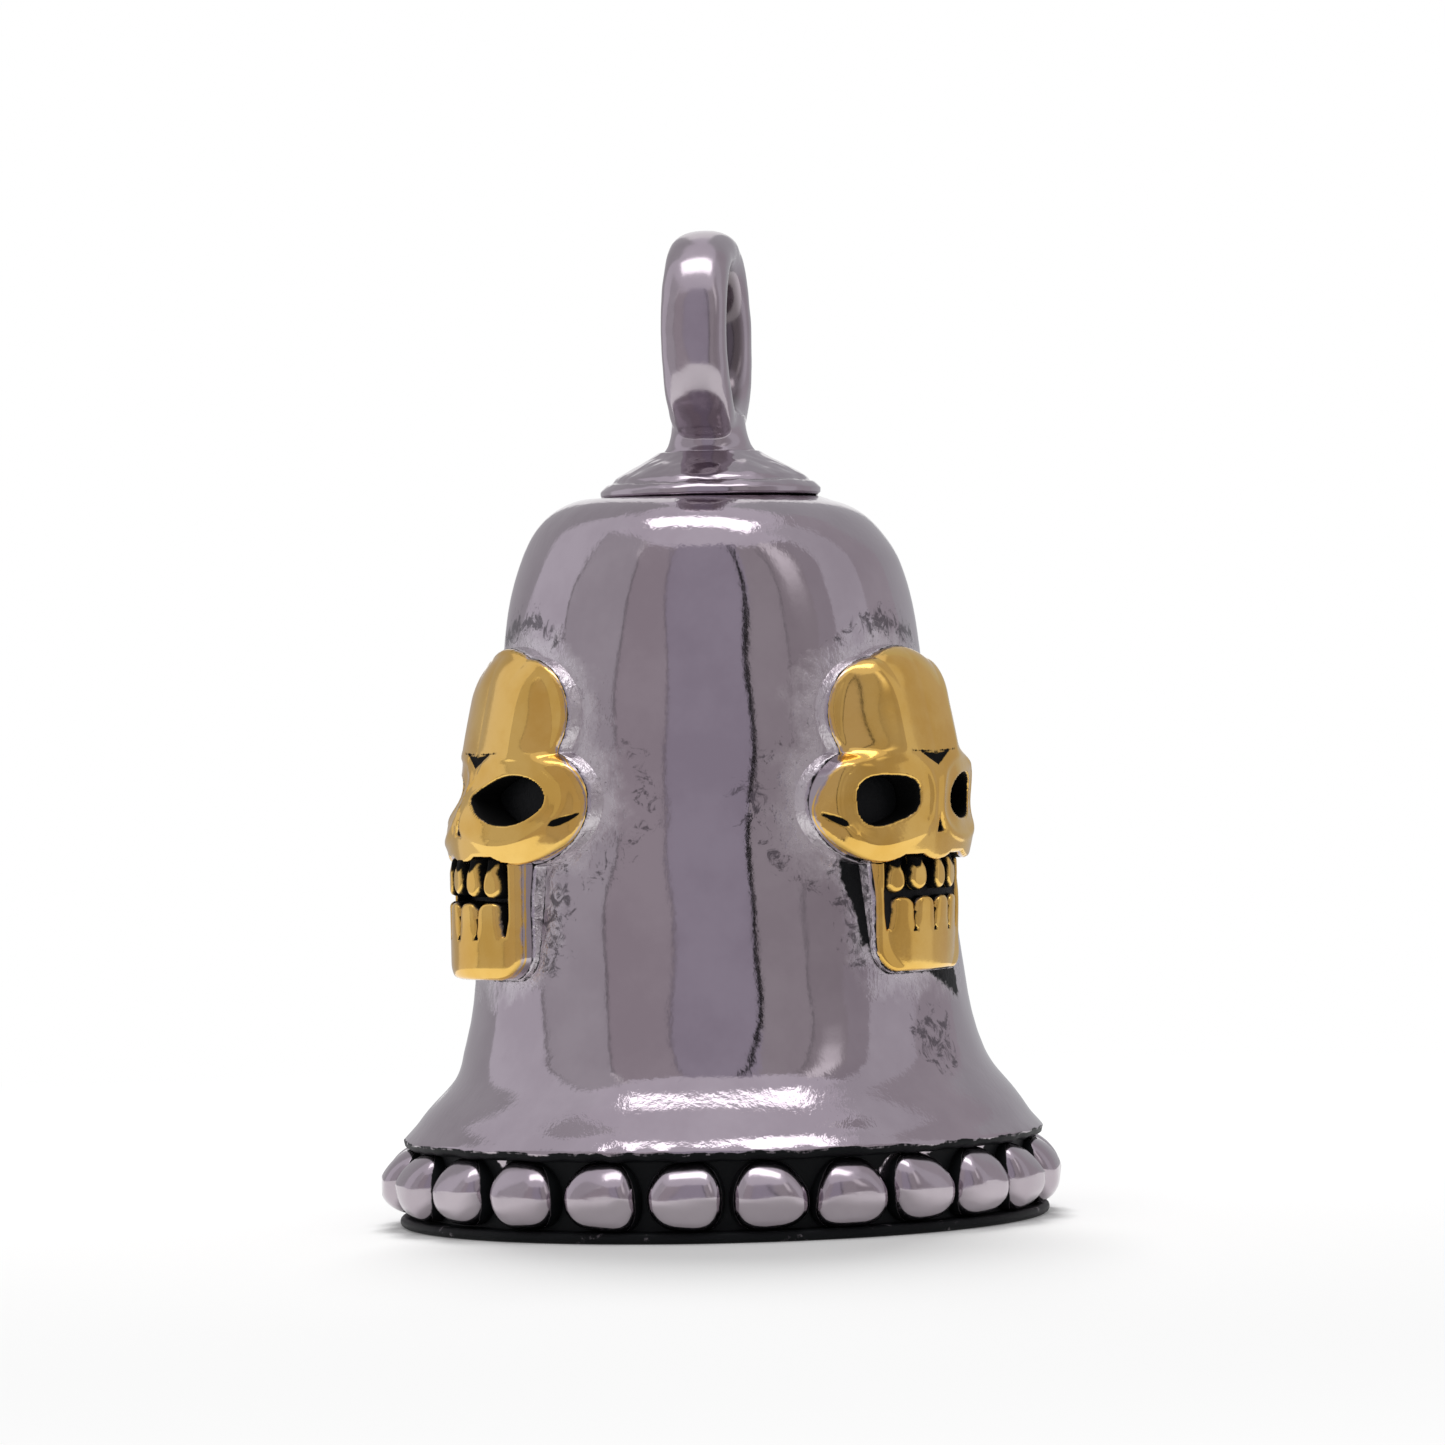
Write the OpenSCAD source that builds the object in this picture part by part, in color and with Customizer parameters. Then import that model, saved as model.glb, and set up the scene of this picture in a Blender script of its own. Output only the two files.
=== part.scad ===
// Small hanging bell: a cast shell with a beaded rim, a soldered crown cap and loop,
// three gilt skulls round the waist, and a clapper hung on a ring link inside.
// Millimetres, +Z up, origin at the centre of the mouth.

/* [Body] */
// Height of the shell from the mouth to its flat crown
body_h = 27.75; // [25:0.05:34]
// Outer radius of the lip that overhangs the beads
lip_r = 12.3; // [11.4:0.05:15]
// Outer radius of the waist where the flare starts
waist_low_r = 9.45; // [8.6:0.05:10.4]
// Outer radius of the waist where the shoulder starts
waist_high_r = 8; // [7.2:0.05:9]
// Radius of the flat on top of the crown
crown_r = 4; // [3.4:0.1:5]
// Height of the flare above the rim
flare_h = 5.9; // [4.5:0.1:7]
// Height of the rounded shoulder
shoulder_h = 5.75; // [4:0.05:7]
// Wall of the shell at the waist
wall = 1.3; // [1:0.05:1.6]
// Thickness of the crown
crown_t = 1.5; // [1.2:0.1:2]

/* [Beaded rim] */
// Number of beads
bead_count = 24; // [12:2:26]
// Height of a bead, which is round across the rim
bead_d = 2.4; // [1.8:0.05:2.8]
// Gap between one bead and the next
bead_gap = 0.37; // [0.2:0.01:1]
// Depth of the channel that holds the beads, under the lip
channel_depth = 0.5; // [0.35:0.05:0.8]
// Space over and under a bead in its channel
bead_clear = 0.1; // [0.05:0.05:0.2]
// Thickness of the lip over the beads
upper_lip_t = 0.33; // [0.2:0.01:0.6]
// Thickness of the foot ring under the beads
foot_t = 0.42; // [0.3:0.02:0.8]
// How far the foot ring stands out past the lip
foot_proud = 0.2; // [0:0.05:0.4]
// Width of the flat that the bell stands on
foot_flat_w = 1.5; // [1:0.1:1.8]
// Height of the straight edge inside the mouth
mouth_edge_h = 0.5; // [0.2:0.1:1]

/* [Skulls] */
// Number of skulls round the waist
skull_count = 3; // [2:1:3]
// Direction of the first skull, in degrees from +X
skull_turn = 94; // [0:2:118]
// Height from the chin to the eye line
skull_low = 6.4; // [6:0.05:6.8]
// Height from the eye line to the top of the skull
skull_high = 5.85; // [5.4:0.05:6.2]
// How far the skulls sit above the middle of the waist
skull_lift = 0.1; // [-0.5:0.05:0.5]
// Thickness of the silver seat under a skull
seat_t = 0.5; // [0.3:0.05:0.8]
// Margin of the seat round the gilt pieces
seat_margin = 0.1; // [0.1:0.05:0.4]
// How far the face stands out from the waist at the forehead
forehead_relief = 1.75; // [1.4:0.05:2.2]
// How far the face stands out from the waist at the nose
nose_relief = 1.9; // [1.6:0.05:2.3]
// Distance from the eye line down to where the face stands out most
nose_level = 1.7; // [1.2:0.1:2.2]
// Distance from the eye line up to where the forehead starts
brow_level = 0.9; // [0.5:0.1:1.4]
// Distance of the face's own axis of curvature from the bell's axis
face_axis = 5; // [4.6:0.1:5.4]
// Radius of the skull's crown
dome_r = 3.6; // [3.2:0.1:4]
// Radius of each temple
temple_r = 2.3; // [2:0.05:2.6]
// Distance of a temple's centre from the middle of the face
temple_x = 1.55; // [1.3:0.05:1.8]
// Height of a temple's centre above the eye line
temple_rise = 3.15; // [2.9:0.05:3.4]
// Radius of each cheekbone
cheek_r = 2.15; // [1.9:0.05:2.4]
// Distance of a cheekbone's centre from the middle of the face
cheek_x = 2.85; // [2.6:0.05:3.1]
// Distance of a cheekbone's centre below the eye line
cheek_drop = 0.2; // [0:0.05:0.4]
// Bevel along the lower edge of the upper jaw
lip_bevel = 0.2; // [0.1:0.05:0.4]
// Thickness of the skull's top edge over the seat
dome_edge = 0.1; // [0.05:0.05:0.3]
// Radius of the upper jaw
maxilla_r = 1.9; // [1.6:0.05:2.1]
// Distance of the upper jaw's centre below the eye line
maxilla_drop = 0.45; // [0.3:0.05:0.8]
// Width of an eye socket
socket_w = 2.7; // [2.2:0.1:3]
// Height of an eye socket
socket_h = 1.8; // [1.4:0.1:2.2]
// Distance of a socket's centre from the middle of the face
socket_x = 2.45; // [2.2:0.05:2.7]
// Height of a socket's centre above the eye line
socket_rise = 0.1; // [-0.2:0.05:0.3]
// Tilt of a socket, in degrees, with its outer corner down
socket_tilt = 6; // [0:1:15]
// Width and height of the nose hole
nose_w = 0.5; // [0.3:0.05:0.7]
// Distance from the eye line down to the middle of the nose hole
nose_drop = 0.9; // [0.6:0.05:1.1]

/* [Jaws] */
// Half the width of the lower jaw
jaw_r = 2.9; // [2.7:0.05:3.3]
// How far the lower jaw stands out from the waist
jaw_relief = 1.45; // [1.2:0.05:1.8]
// Height from the chin to the tops of the lower teeth
jaw_h = 2.65; // [2.2:0.05:3]
// Width of the bar that rises at each side of the jaw
ramus_w = 0.55; // [0.4:0.05:0.6]
// Radius of the chin's corners
chin_r = 0.9; // [0.6:0.05:1.2]
// How far the underside of the chin draws in
chin_bevel = 0.6; // [0.3:0.05:0.8]
// Number of teeth in each row
tooth_count = 4; // [4:1:5]
// Distance from one tooth to the next
tooth_pitch = 1.08; // [0.9:0.02:1.1]
// Width of an upper tooth
tooth_w = 0.8; // [0.6:0.05:0.85]
// How far the upper teeth stand out from the waist
tooth_relief = 1.25; // [1:0.05:1.5]
// Width of the slit between two lower teeth
tooth_slit = 0.14; // [0.1:0.02:0.24]
// Length of the slit between two lower teeth
slit_h = 1.1; // [0.8:0.05:1.4]
// Gap between the upper and the lower teeth
bite_gap = 0.35; // [0.25:0.05:0.6]

/* [Cap and loop] */
// Radius of the crown cap
cap_r = 4.24; // [3.6:0.02:5]
// Height of the crown cap
cap_h = 1.75; // [1.4:0.05:2.2]
// Thickness of the cap's edge
cap_edge_t = 0.28; // [0.2:0.02:0.5]
// Chamfer under the cap's edge
cap_chamfer = 0.1; // [0.05:0.05:0.15]
// Radius of the hole in the loop
loop_hole_r = 2.5; // [2.1:0.1:2.9]
// Thickness of the loop's ring between its hole and its outer edge
loop_ring_t = 1.65; // [1.3:0.05:2]
// Width of the loop along its hole
loop_w = 2.5; // [2:0.1:3]
// Depth of the flat land that the hole cuts into the ring's inner side
land_cut = 0.05; // [0.03:0.01:0.1]
// Radius of the loop's neck
neck_r = 1.58; // [1.4:0.02:1.8]
// Radius of the loop's foot on the cap
loop_foot_r = 1.95; // [1.85:0.05:2.3]
// Distance from the cap to the underside of the ring
neck_h = 0.2; // [0.1:0.05:0.8]
// Height over which the foot narrows to the neck
neck_rise = 1.2; // [0.8:0.1:1.5]
// Radius of the tenon that goes down through the cap and the crown
tenon_r = 0.8; // [0.6:0.05:0.9]
// How far the tenon's riveted end stands below the crown
tenon_proud = 0.2; // [0.1:0.05:0.4]

/* [Clapper] */
// Radius of the staple's wire
staple_wire_r = 0.45; // [0.35:0.05:0.5]
// Distance of a staple leg from the bell's axis
staple_leg_x = 1.8; // [1.7:0.05:2.2]
// Straight length of a staple leg under the crown
staple_straight = 0.25; // [0.1:0.05:1]
// Radius of the link's wire
link_wire_r = 0.4; // [0.3:0.05:0.45]
// Radius of the link, to the middle of its wire
link_r = 1.6; // [1.5:0.05:1.8]
// Radius of the wire of the clapper's eye
eye_wire_r = 0.4; // [0.3:0.05:0.45]
// Radius of the clapper's eye, to the middle of its wire
eye_r = 1.1; // [1.05:0.05:1.2]
// Radius of the clapper's rod
rod_r = 0.55; // [0.4:0.05:0.8]
// Radius of the clapper's ball
ball_r = 2.6; // [2:0.1:2.7]
// Height of the ball's centre above the mouth
ball_z = 5.5; // [4.5:0.1:7]
// How deep the rod is set into the ball
rod_set = 1.8; // [1.2:0.1:2.4]

/* [Fits] */
// Gap all round a soldered peg in its hole
solder_gap = 0.05; // [0.02:0.01:0.08]
// Film of solder between a piece and the curved face that it sits on
solder_film = 0.03; // [0.01:0.01:0.05]
// Running gap where one ring hangs on another
running_gap = 0.06; // [0.04:0.01:0.1]

// Gap between two teeth of the lower row where their round tops start
tooth_gap = 0.04; // [0.02:0.02:0.1]

/* [Hidden] */
$fn = 96;
curve_steps = 12;
bore_past = 1; // how far a cutter runs past what it cuts

// Rim and waist levels
rim_h = foot_t + bead_d + 2 * bead_clear + upper_lip_t;
waist_low_z = rim_h + flare_h;
waist_high_z = body_h - shoulder_h;
channel_r = lip_r - channel_depth;
channel_top = rim_h - upper_lip_t;
bead_z = foot_t + bead_clear + bead_d / 2;
foot_r = lip_r + foot_proud;
mouth_r = foot_r - foot_flat_w;
bead_back_r = channel_r + solder_film;
bead_half_w = bead_back_r * tan(180 / bead_count) - bead_gap / 2 / cos(180 / bead_count);
crown_under = body_h - crown_t;
waist_slope = (waist_low_r - waist_high_r) / (waist_high_z - waist_low_z);

// Skull levels. The eye line is the datum of the face.
eye_z = (waist_low_z + waist_high_z + skull_low - skull_high) / 2 + skull_lift;
chin_z = eye_z - skull_low;
brow_top_z = eye_z + skull_high;
maxilla_z = eye_z - maxilla_drop;
teeth_top_z = chin_z + jaw_h;
gum_z = teeth_top_z - tooth_pitch / 2; // where the round tops of the lower teeth start
face_depth = 2 * lip_r; // length of the radial prisms, past any face

// Cap and loop levels
cap_top = body_h + cap_h;
ring_outer_r = loop_hole_r + loop_ring_t;
ring_axis_z = cap_top + neck_h + ring_outer_r;

// Clapper levels
arch_z = crown_under - staple_straight;
bight_z = arch_z - staple_leg_x;
hang = staple_wire_r + link_wire_r + running_gap;
link_z = bight_z + hang - link_r;
link_low_z = link_z - link_r;
eye_hang = link_wire_r + eye_wire_r + running_gap;
rod_eye_z = link_low_z + eye_hang - eye_r;

SKULL_NODES = ["skull_seat", "cranium", "upper_teeth", "jaw"];

silver = [0.66, 0.62, 0.65];
dark_silver = [0.2, 0.19, 0.2];
gilt = [0.85, 0.66, 0.24];

// Radius of the straight waist at height z.
function waist_r(z) = waist_low_r - (z - waist_low_z) * waist_slope;

// Points of a cubic curve from a to d, with a itself left out.
function curve(a, b, c, d, n = curve_steps) =
    [for (i = [1:n]) let (t = i / n, s = 1 - t)
        s * s * s * a + 3 * s * s * t * b + 3 * s * t * t * c + t * t * t * d];

// ---- shell ----

// Outer line of the flare, waist and shoulder, from the lip up to the crown.
// The curves' handles are shares of the spans that the curves cross.
function outer_line() = let (
        flare_w = lip_r - waist_low_r,
        shoulder_w = waist_high_r - crown_r)
    concat(
    [[lip_r, rim_h]],
    curve([lip_r, rim_h],
          [lip_r - 0.4 * flare_w, rim_h + 0.19 * flare_h],
          [waist_r(waist_low_z - 0.5 * flare_h), waist_low_z - 0.5 * flare_h],
          [waist_low_r, waist_low_z]),
    [[waist_high_r, waist_high_z]],
    curve([waist_high_r, waist_high_z],
          [waist_r(waist_high_z + 0.61 * shoulder_h), waist_high_z + 0.61 * shoulder_h],
          [crown_r + 0.65 * shoulder_w, body_h],
          [crown_r, body_h]));

// Inner line, from the crown's underside down to the mouth.
function inner_line() = let (
        crown_in_r = crown_r - wall,
        high = waist_high_z - crown_t,
        high_r = waist_high_r - wall,
        low = waist_low_z - wall * waist_slope,
        low_r = waist_r(low) - wall,
        flare_in_h = low - mouth_edge_h)
    concat(
    [[crown_in_r, crown_under]],
    curve([crown_in_r, crown_under],
          [crown_in_r + 0.6 * (high_r - crown_in_r), crown_under],
          [high_r - 0.5 * shoulder_h * waist_slope, high + 0.6 * shoulder_h],
          [high_r, high]),
    [[low_r, low]],
    curve([low_r, low],
          [low_r + 0.41 * flare_in_h * waist_slope, low - 0.41 * flare_in_h],
          [mouth_r - 0.32 * (mouth_r - low_r), mouth_edge_h + 0.25 * flare_in_h],
          [mouth_r, mouth_edge_h]),
    [[mouth_r, 0]]);

// Everything inside the shell's outer face, grown outwards by t.
module body_envelope(t) {
    rotate_extrude()
        polygon(concat(
            [[0, 0], [lip_r + t, 0]],
            [for (p = outer_line()) p + [t, 0]],
            [[0, body_h]]));
}

module crown_holes(height, low) {
    translate([0, 0, low - bore_past])
        cylinder(r = tenon_r + solder_gap, h = height + 2 * bore_past);
    for (x = [-staple_leg_x, staple_leg_x])
        translate([x, 0, low - bore_past])
            cylinder(r = staple_wire_r + solder_gap, h = height + 2 * bore_past);
}

module bell_body() {
    foot_round = foot_t / 2;
    color(silver)
    difference() {
        rotate_extrude()
            polygon(concat(
                [[foot_r - foot_round, 0]],
                [for (a = [-60:30:60])
                    [foot_r - foot_round + foot_round * cos(a), foot_round + foot_round * sin(a)]],
                [[foot_r - foot_round, foot_t], [channel_r, foot_t], [channel_r, channel_top],
                 [lip_r - upper_lip_t / 3, channel_top]],
                outer_line(),
                [[0, body_h], [0, crown_under]],
                inner_line()));
        crown_holes(crown_t, crown_under);
    }
}

// ---- beaded rim ----

// One bead: half round across the rim and longer along it, with its flat back to the channel's floor.
module bead() {
    translate([bead_back_r, 0, bead_z])
        rotate([90, 0, 0])
            rotate(-90)
                rotate_extrude(angle = 180)
                    polygon([for (a = [-90:22.5:90]) [bead_d / 2 * cos(a), bead_half_w * sin(a)]]);
}

module rim_beads() {
    color(silver)
    for (i = [0:bead_count - 1])
        rotate(i * 360 / bead_count) bead();
}

// ---- crown cap and loop ----

module crown_cap() {
    slope_w = cap_r - loop_foot_r;
    slope_h = cap_h - cap_edge_t;
    color(silver)
    difference() {
        rotate_extrude()
            polygon(concat(
                [[0, body_h], [cap_r - cap_chamfer, body_h], [cap_r, body_h + cap_chamfer],
                 [cap_r, body_h + cap_edge_t]],
                curve([cap_r, body_h + cap_edge_t],
                      [cap_r - 0.4 * slope_w, body_h + cap_edge_t + 0.3 * slope_h],
                      [loop_foot_r + 0.2 * slope_w, cap_top - 0.24 * slope_h],
                      [loop_foot_r, cap_top], 6),
                [[0, cap_top]]));
        translate([0, 0, body_h - bore_past])
            cylinder(r = tenon_r + solder_gap, h = cap_h + 2 * bore_past);
    }
}

module hanging_loop() {
    ring_half_t = loop_ring_t / 2 + land_cut;
    color(silver)
    difference() {
        union() {
            translate([0, 0, ring_axis_z])
                rotate([0, 90, 0])
                    rotate_extrude()
                        polygon([for (a = [0:15:345])
                            [ring_outer_r - ring_half_t + ring_half_t * cos(a), loop_w / 2 * sin(a)]]);
            rotate_extrude()
                polygon(concat(
                    [[0, cap_top], [loop_foot_r, cap_top]],
                    curve([loop_foot_r, cap_top], [neck_r, cap_top + neck_rise / 4],
                          [neck_r, cap_top + neck_rise / 2], [neck_r, cap_top + neck_rise], 6),
                    [[0, ring_axis_z - loop_hole_r - land_cut]]));
            translate([0, 0, crown_under - tenon_proud])
                cylinder(r = tenon_r, h = cap_top - crown_under + tenon_proud + neck_h);
        }
        translate([-loop_w, 0, ring_axis_z])
            rotate([0, 90, 0])
                cylinder(r = loop_hole_r, h = 2 * loop_w);
    }
}

// ---- skulls ----

// Turns a piece to its place in the row of skulls.
module at_skull(i) {
    rotate(skull_turn + (i - 1) * 360 / skull_count) children();
}

// A flat outline in [across the face, height], pushed out through the waist along +X.
module prism() {
    rotate([90, 0, 90]) linear_extrude(face_depth) children();
}

module mirrored() {
    children();
    mirror([1, 0]) children();
}

// Outline of the cranium without its holes. m grows it all round.
module cranium_outline(m = 0) {
    translate([0, brow_top_z - dome_r]) circle(dome_r + m);
    mirrored() {
        translate([temple_x, eye_z + temple_rise]) circle(temple_r + m);
        translate([cheek_x, eye_z - cheek_drop]) circle(cheek_r + m);
    }
    translate([0, maxilla_z]) circle(maxilla_r + m);
    translate([-cheek_x, maxilla_z - maxilla_r / 2])
        square([2 * cheek_x, temple_rise + maxilla_drop + maxilla_r / 2]);
}

// An eye socket is where two discs overlap.
module socket_outline() {
    half_w = socket_w / 2;
    half_h = socket_h / 2;
    disc_r = (half_w * half_w + half_h * half_h) / (2 * half_h);
    intersection() {
        translate([0, disc_r - half_h]) circle(disc_r);
        translate([0, half_h - disc_r]) circle(disc_r);
    }
}

module face_holes() {
    mirrored()
        translate([socket_x, eye_z + socket_rise]) rotate(-socket_tilt) socket_outline();
    translate([0, eye_z - nose_drop])
        polygon([[-nose_w / 2, -nose_w / 2], [nose_w / 2, -nose_w / 2], [0, nose_w / 2]]);
}

// The face's outer form: a shell of revolution about the face's own upright axis.
module face_dome() {
    nose_z = eye_z - nose_level;
    nose_r = waist_r(nose_z) + nose_relief - face_axis;
    brow_z = eye_z + brow_level;
    brow_r = waist_r(brow_z) + forehead_relief - face_axis;
    top_z = brow_top_z + dome_edge;
    top_r = waist_r(brow_top_z) + seat_t - face_axis;
    low_z = maxilla_z - maxilla_r;
    translate([face_axis, 0, 0])
        rotate_extrude()
            polygon(concat(
                [[0, low_z - lip_bevel], [nose_r - lip_bevel, low_z - lip_bevel],
                 [nose_r, low_z + lip_bevel], [nose_r, nose_z], [brow_r, brow_z]],
                curve([brow_r, brow_z],
                      [brow_r - 0.15 * (brow_r - top_r), brow_z + 0.4 * (top_z - brow_z)],
                      [top_r + 0.75 * (brow_r - top_r), top_z - 0.16 * (top_z - brow_z)],
                      [top_r, top_z], 8),
                [[0, top_z]]));
}

module cranium() {
    color(gilt)
    difference() {
        intersection() {
            prism() difference() {
                cranium_outline();
                face_holes();
            }
            face_dome();
        }
        body_envelope(seat_t + solder_film);
    }
}

// Points of the jaw's outline from its left side round the chin to its right side. m grows it.
function chin_line(m) = let (cx = jaw_r - chin_r, cz = chin_z + chin_r)
    concat(
    [for (a = [180:15:270]) [-cx + (chin_r + m) * cos(a), cz + (chin_r + m) * sin(a)]],
    [for (a = [270:15:360]) [cx + (chin_r + m) * cos(a), cz + (chin_r + m) * sin(a)]]);

// Distance of tooth i from the middle of the face.
function tooth_x(i) = (i - (tooth_count - 1) / 2) * tooth_pitch;

module jaw_outline() {
    inner_x = jaw_r - ramus_w;
    difference() {
        union() {
            polygon(concat(
                chin_line(0),
                [[jaw_r, maxilla_z], [inner_x, maxilla_z], [inner_x, gum_z],
                 [-inner_x, gum_z], [-inner_x, maxilla_z], [-jaw_r, maxilla_z]]));
            for (i = [0:tooth_count - 1])
                translate([tooth_x(i), gum_z]) circle((tooth_pitch - tooth_gap) / 2);
        }
        for (i = [0:tooth_count - 2])
            translate([tooth_x(i + 0.5) - tooth_slit / 2, teeth_top_z - slit_h])
                square([tooth_slit, 2 * slit_h]);
        cranium_outline();
    }
}

// Outer form of a row of teeth or of the jaw, standing out by relief.
module jaw_dome(relief, low_z, high_z) {
    mid_r = waist_r((low_z + high_z) / 2) + relief - face_axis;
    translate([face_axis, 0, 0])
        rotate_extrude()
            polygon([[0, low_z], [mid_r - chin_bevel, low_z],
                     [mid_r - chin_bevel / 4, low_z + 0.6 * chin_bevel],
                     [mid_r, low_z + 1.5 * chin_bevel], [mid_r, high_z], [0, high_z]]);
}

module jaw() {
    color(gilt)
    difference() {
        intersection() {
            prism() jaw_outline();
            jaw_dome(jaw_relief, chin_z, eye_z);
        }
        body_envelope(seat_t + solder_film);
    }
}

module upper_teeth() {
    low = teeth_top_z + bite_gap;
    color(gilt)
    difference() {
        intersection() {
            prism() difference() {
                for (i = [0:tooth_count - 1]) {
                    translate([tooth_x(i), low + tooth_w / 2]) circle(tooth_w / 2);
                    translate([tooth_x(i) - tooth_w / 2, low + tooth_w / 2])
                        square([tooth_w, maxilla_z - low - tooth_w / 2]);
                }
                cranium_outline();
            }
            jaw_dome(tooth_relief, low - 1.5 * chin_bevel, eye_z);
        }
        body_envelope(seat_t + solder_film);
    }
}

module skull_seat() {
    color(dark_silver)
    difference() {
        intersection() {
            prism() {
                cranium_outline(seat_margin);
                polygon(concat(
                    chin_line(seat_margin),
                    [[jaw_r + seat_margin, maxilla_z], [-jaw_r - seat_margin, maxilla_z]]));
            }
            body_envelope(seat_t);
        }
        body_envelope(solder_film);
    }
}

// ---- clapper ----

// A ring of round wire about the X axis.
module wire_ring(ring_r, wire_r) {
    rotate([0, 90, 0])
        rotate_extrude() translate([ring_r, 0]) circle(wire_r, $fn = 48);
}

// A U of wire: half a ring under the crown, with its legs set into the crown's holes.
module clapper_staple() {
    color(silver) {
        intersection() {
            translate([0, 0, arch_z]) rotate(90) wire_ring(staple_leg_x, staple_wire_r);
            translate([-2 * staple_leg_x, -staple_leg_x, arch_z - 2 * staple_leg_x])
                cube([4 * staple_leg_x, 2 * staple_leg_x, 2 * staple_leg_x]);
        }
        for (x = [-staple_leg_x, staple_leg_x])
            translate([x, 0, arch_z])
                cylinder(r = staple_wire_r, h = body_h - solder_gap - arch_z);
    }
}

module clapper_link() {
    color(silver)
    translate([0, 0, link_z]) wire_ring(link_r, link_wire_r);
}

module clapper_rod() {
    rod_top = rod_eye_z - eye_r;
    rod_end = ball_z + ball_r - rod_set;
    color(silver) {
        translate([0, 0, rod_eye_z]) rotate(90) wire_ring(eye_r, eye_wire_r);
        translate([0, 0, rod_end]) cylinder(r = rod_r, h = rod_top - rod_end);
    }
}

module clapper_ball() {
    color(silver)
    difference() {
        translate([0, 0, ball_z]) sphere(ball_r);
        translate([0, 0, ball_z + ball_r - rod_set - solder_gap])
            cylinder(r = rod_r + solder_gap, h = rod_set + bore_past);
    }
}

bell_body();
rim_beads();
crown_cap();
hanging_loop();
clapper_staple();
clapper_link();
clapper_rod();
clapper_ball();
for (i = [1:skull_count]) {
    at_skull(i) skull_seat();
    at_skull(i) cranium();
    at_skull(i) upper_teeth();
    at_skull(i) jaw();
}
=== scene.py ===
import math
import bpy
import numpy as np
from mathutils import Matrix


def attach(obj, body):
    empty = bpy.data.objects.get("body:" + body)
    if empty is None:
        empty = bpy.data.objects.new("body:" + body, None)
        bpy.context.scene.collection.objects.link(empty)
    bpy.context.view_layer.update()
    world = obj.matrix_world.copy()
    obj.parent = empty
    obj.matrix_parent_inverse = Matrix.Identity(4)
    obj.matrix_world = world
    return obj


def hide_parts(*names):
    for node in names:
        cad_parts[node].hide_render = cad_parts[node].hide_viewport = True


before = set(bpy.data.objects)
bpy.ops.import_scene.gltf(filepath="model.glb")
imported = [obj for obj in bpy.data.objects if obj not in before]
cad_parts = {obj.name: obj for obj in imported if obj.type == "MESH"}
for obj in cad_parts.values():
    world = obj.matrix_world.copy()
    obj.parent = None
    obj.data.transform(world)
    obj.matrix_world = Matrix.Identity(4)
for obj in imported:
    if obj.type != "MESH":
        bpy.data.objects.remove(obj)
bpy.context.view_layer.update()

print("frame loaded:", len(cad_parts), "nodes")

mm = 0.001  # shapes are worked out in millimetres and written into the meshes in metres


def addObject(name, data):
    ob = bpy.data.objects.new(name, data)
    bpy.context.scene.collection.objects.link(ob)
    return ob


def standAt(ob, right, up, back, place):
    # the object's three directions and its place, in metres, are the columns of its matrix
    m = np.eye(4)
    m[:3, 0], m[:3, 1], m[:3, 2], m[:3, 3] = right, up, back, place
    ob.matrix_world = Matrix([list(row) for row in m])


camera = {
    "turn": 8.5,          # degrees to the right of the front
    "distance": 270.0,    # from the bell's axis
    "height": 20.92,
    "aimHeight": 19.07,
    "aimRight": 0.36,     # how far the picture's middle lies right of the axis
    "lens": 174.7,
    "sensor": 36.0,
    "roll": 1.4,          # degrees that the bell leans to the left
}


def placeCamera(c):
    # it looks along aim - eye, and its right-hand side is rolled about that line
    turn, roll = math.radians(c["turn"]), math.radians(c["roll"])
    right = np.array([math.cos(turn), math.sin(turn), 0.0])
    back = np.array([math.sin(turn), -math.cos(turn), 0.0])
    eye = back * c["distance"] + right * c["aimRight"] + np.array([0, 0, c["height"]])
    aim = right * c["aimRight"] + np.array([0, 0, c["aimHeight"]])
    look = (aim - eye) / np.linalg.norm(aim - eye)
    tilted = right * math.cos(roll) - np.cross(right, look) * math.sin(roll)
    data = bpy.data.cameras.new("camera")
    data.lens, data.sensor_width = c["lens"], c["sensor"]
    data.clip_start, data.clip_end = 0.01, 20.0
    ob = addObject("camera", data)
    standAt(ob, tilted, np.cross(tilted, look), -look, eye * mm)
    bpy.context.scene.camera = ob


placeCamera(camera)
print("camera placed")


def setValues(mesh, values):
    for key, v in values.items():
        mesh.attributes.new(key, "FLOAT", "POINT").data.foreach_set("value", np.asarray(v, np.float32).ravel())


def makeMesh(name, points, faceSets, values=None):
    # points in mm and arrays of four or three point numbers become one smooth mesh; values are named numbers per point
    mesh = bpy.data.meshes.new(name)
    faceSets = [np.asarray(f, np.int32) for f in faceSets]
    corners = np.concatenate([f.ravel() for f in faceSets])
    sizes = np.concatenate([np.full(len(f), f.shape[1], np.int32) for f in faceSets])
    starts = np.concatenate([[0], np.cumsum(sizes)[:-1]]).astype(np.int32)
    mesh.vertices.add(len(points))
    mesh.vertices.foreach_set("co", (np.asarray(points, float) * mm).astype(np.float32).ravel())
    mesh.loops.add(len(corners))
    mesh.loops.foreach_set("vertex_index", corners)
    mesh.polygons.add(len(sizes))
    mesh.polygons.foreach_set("loop_start", starts)
    mesh.polygons.foreach_set("use_smooth", np.ones(len(sizes), bool))
    mesh.update(calc_edges=True)
    setValues(mesh, values or {})
    return mesh


def addPiece(name, mesh, body, nodes, material):
    ob = addObject(name, mesh)
    ob.data.materials.append(material)
    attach(ob, body)
    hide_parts(*nodes)
    print("made", name, len(mesh.polygons), "faces")


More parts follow.
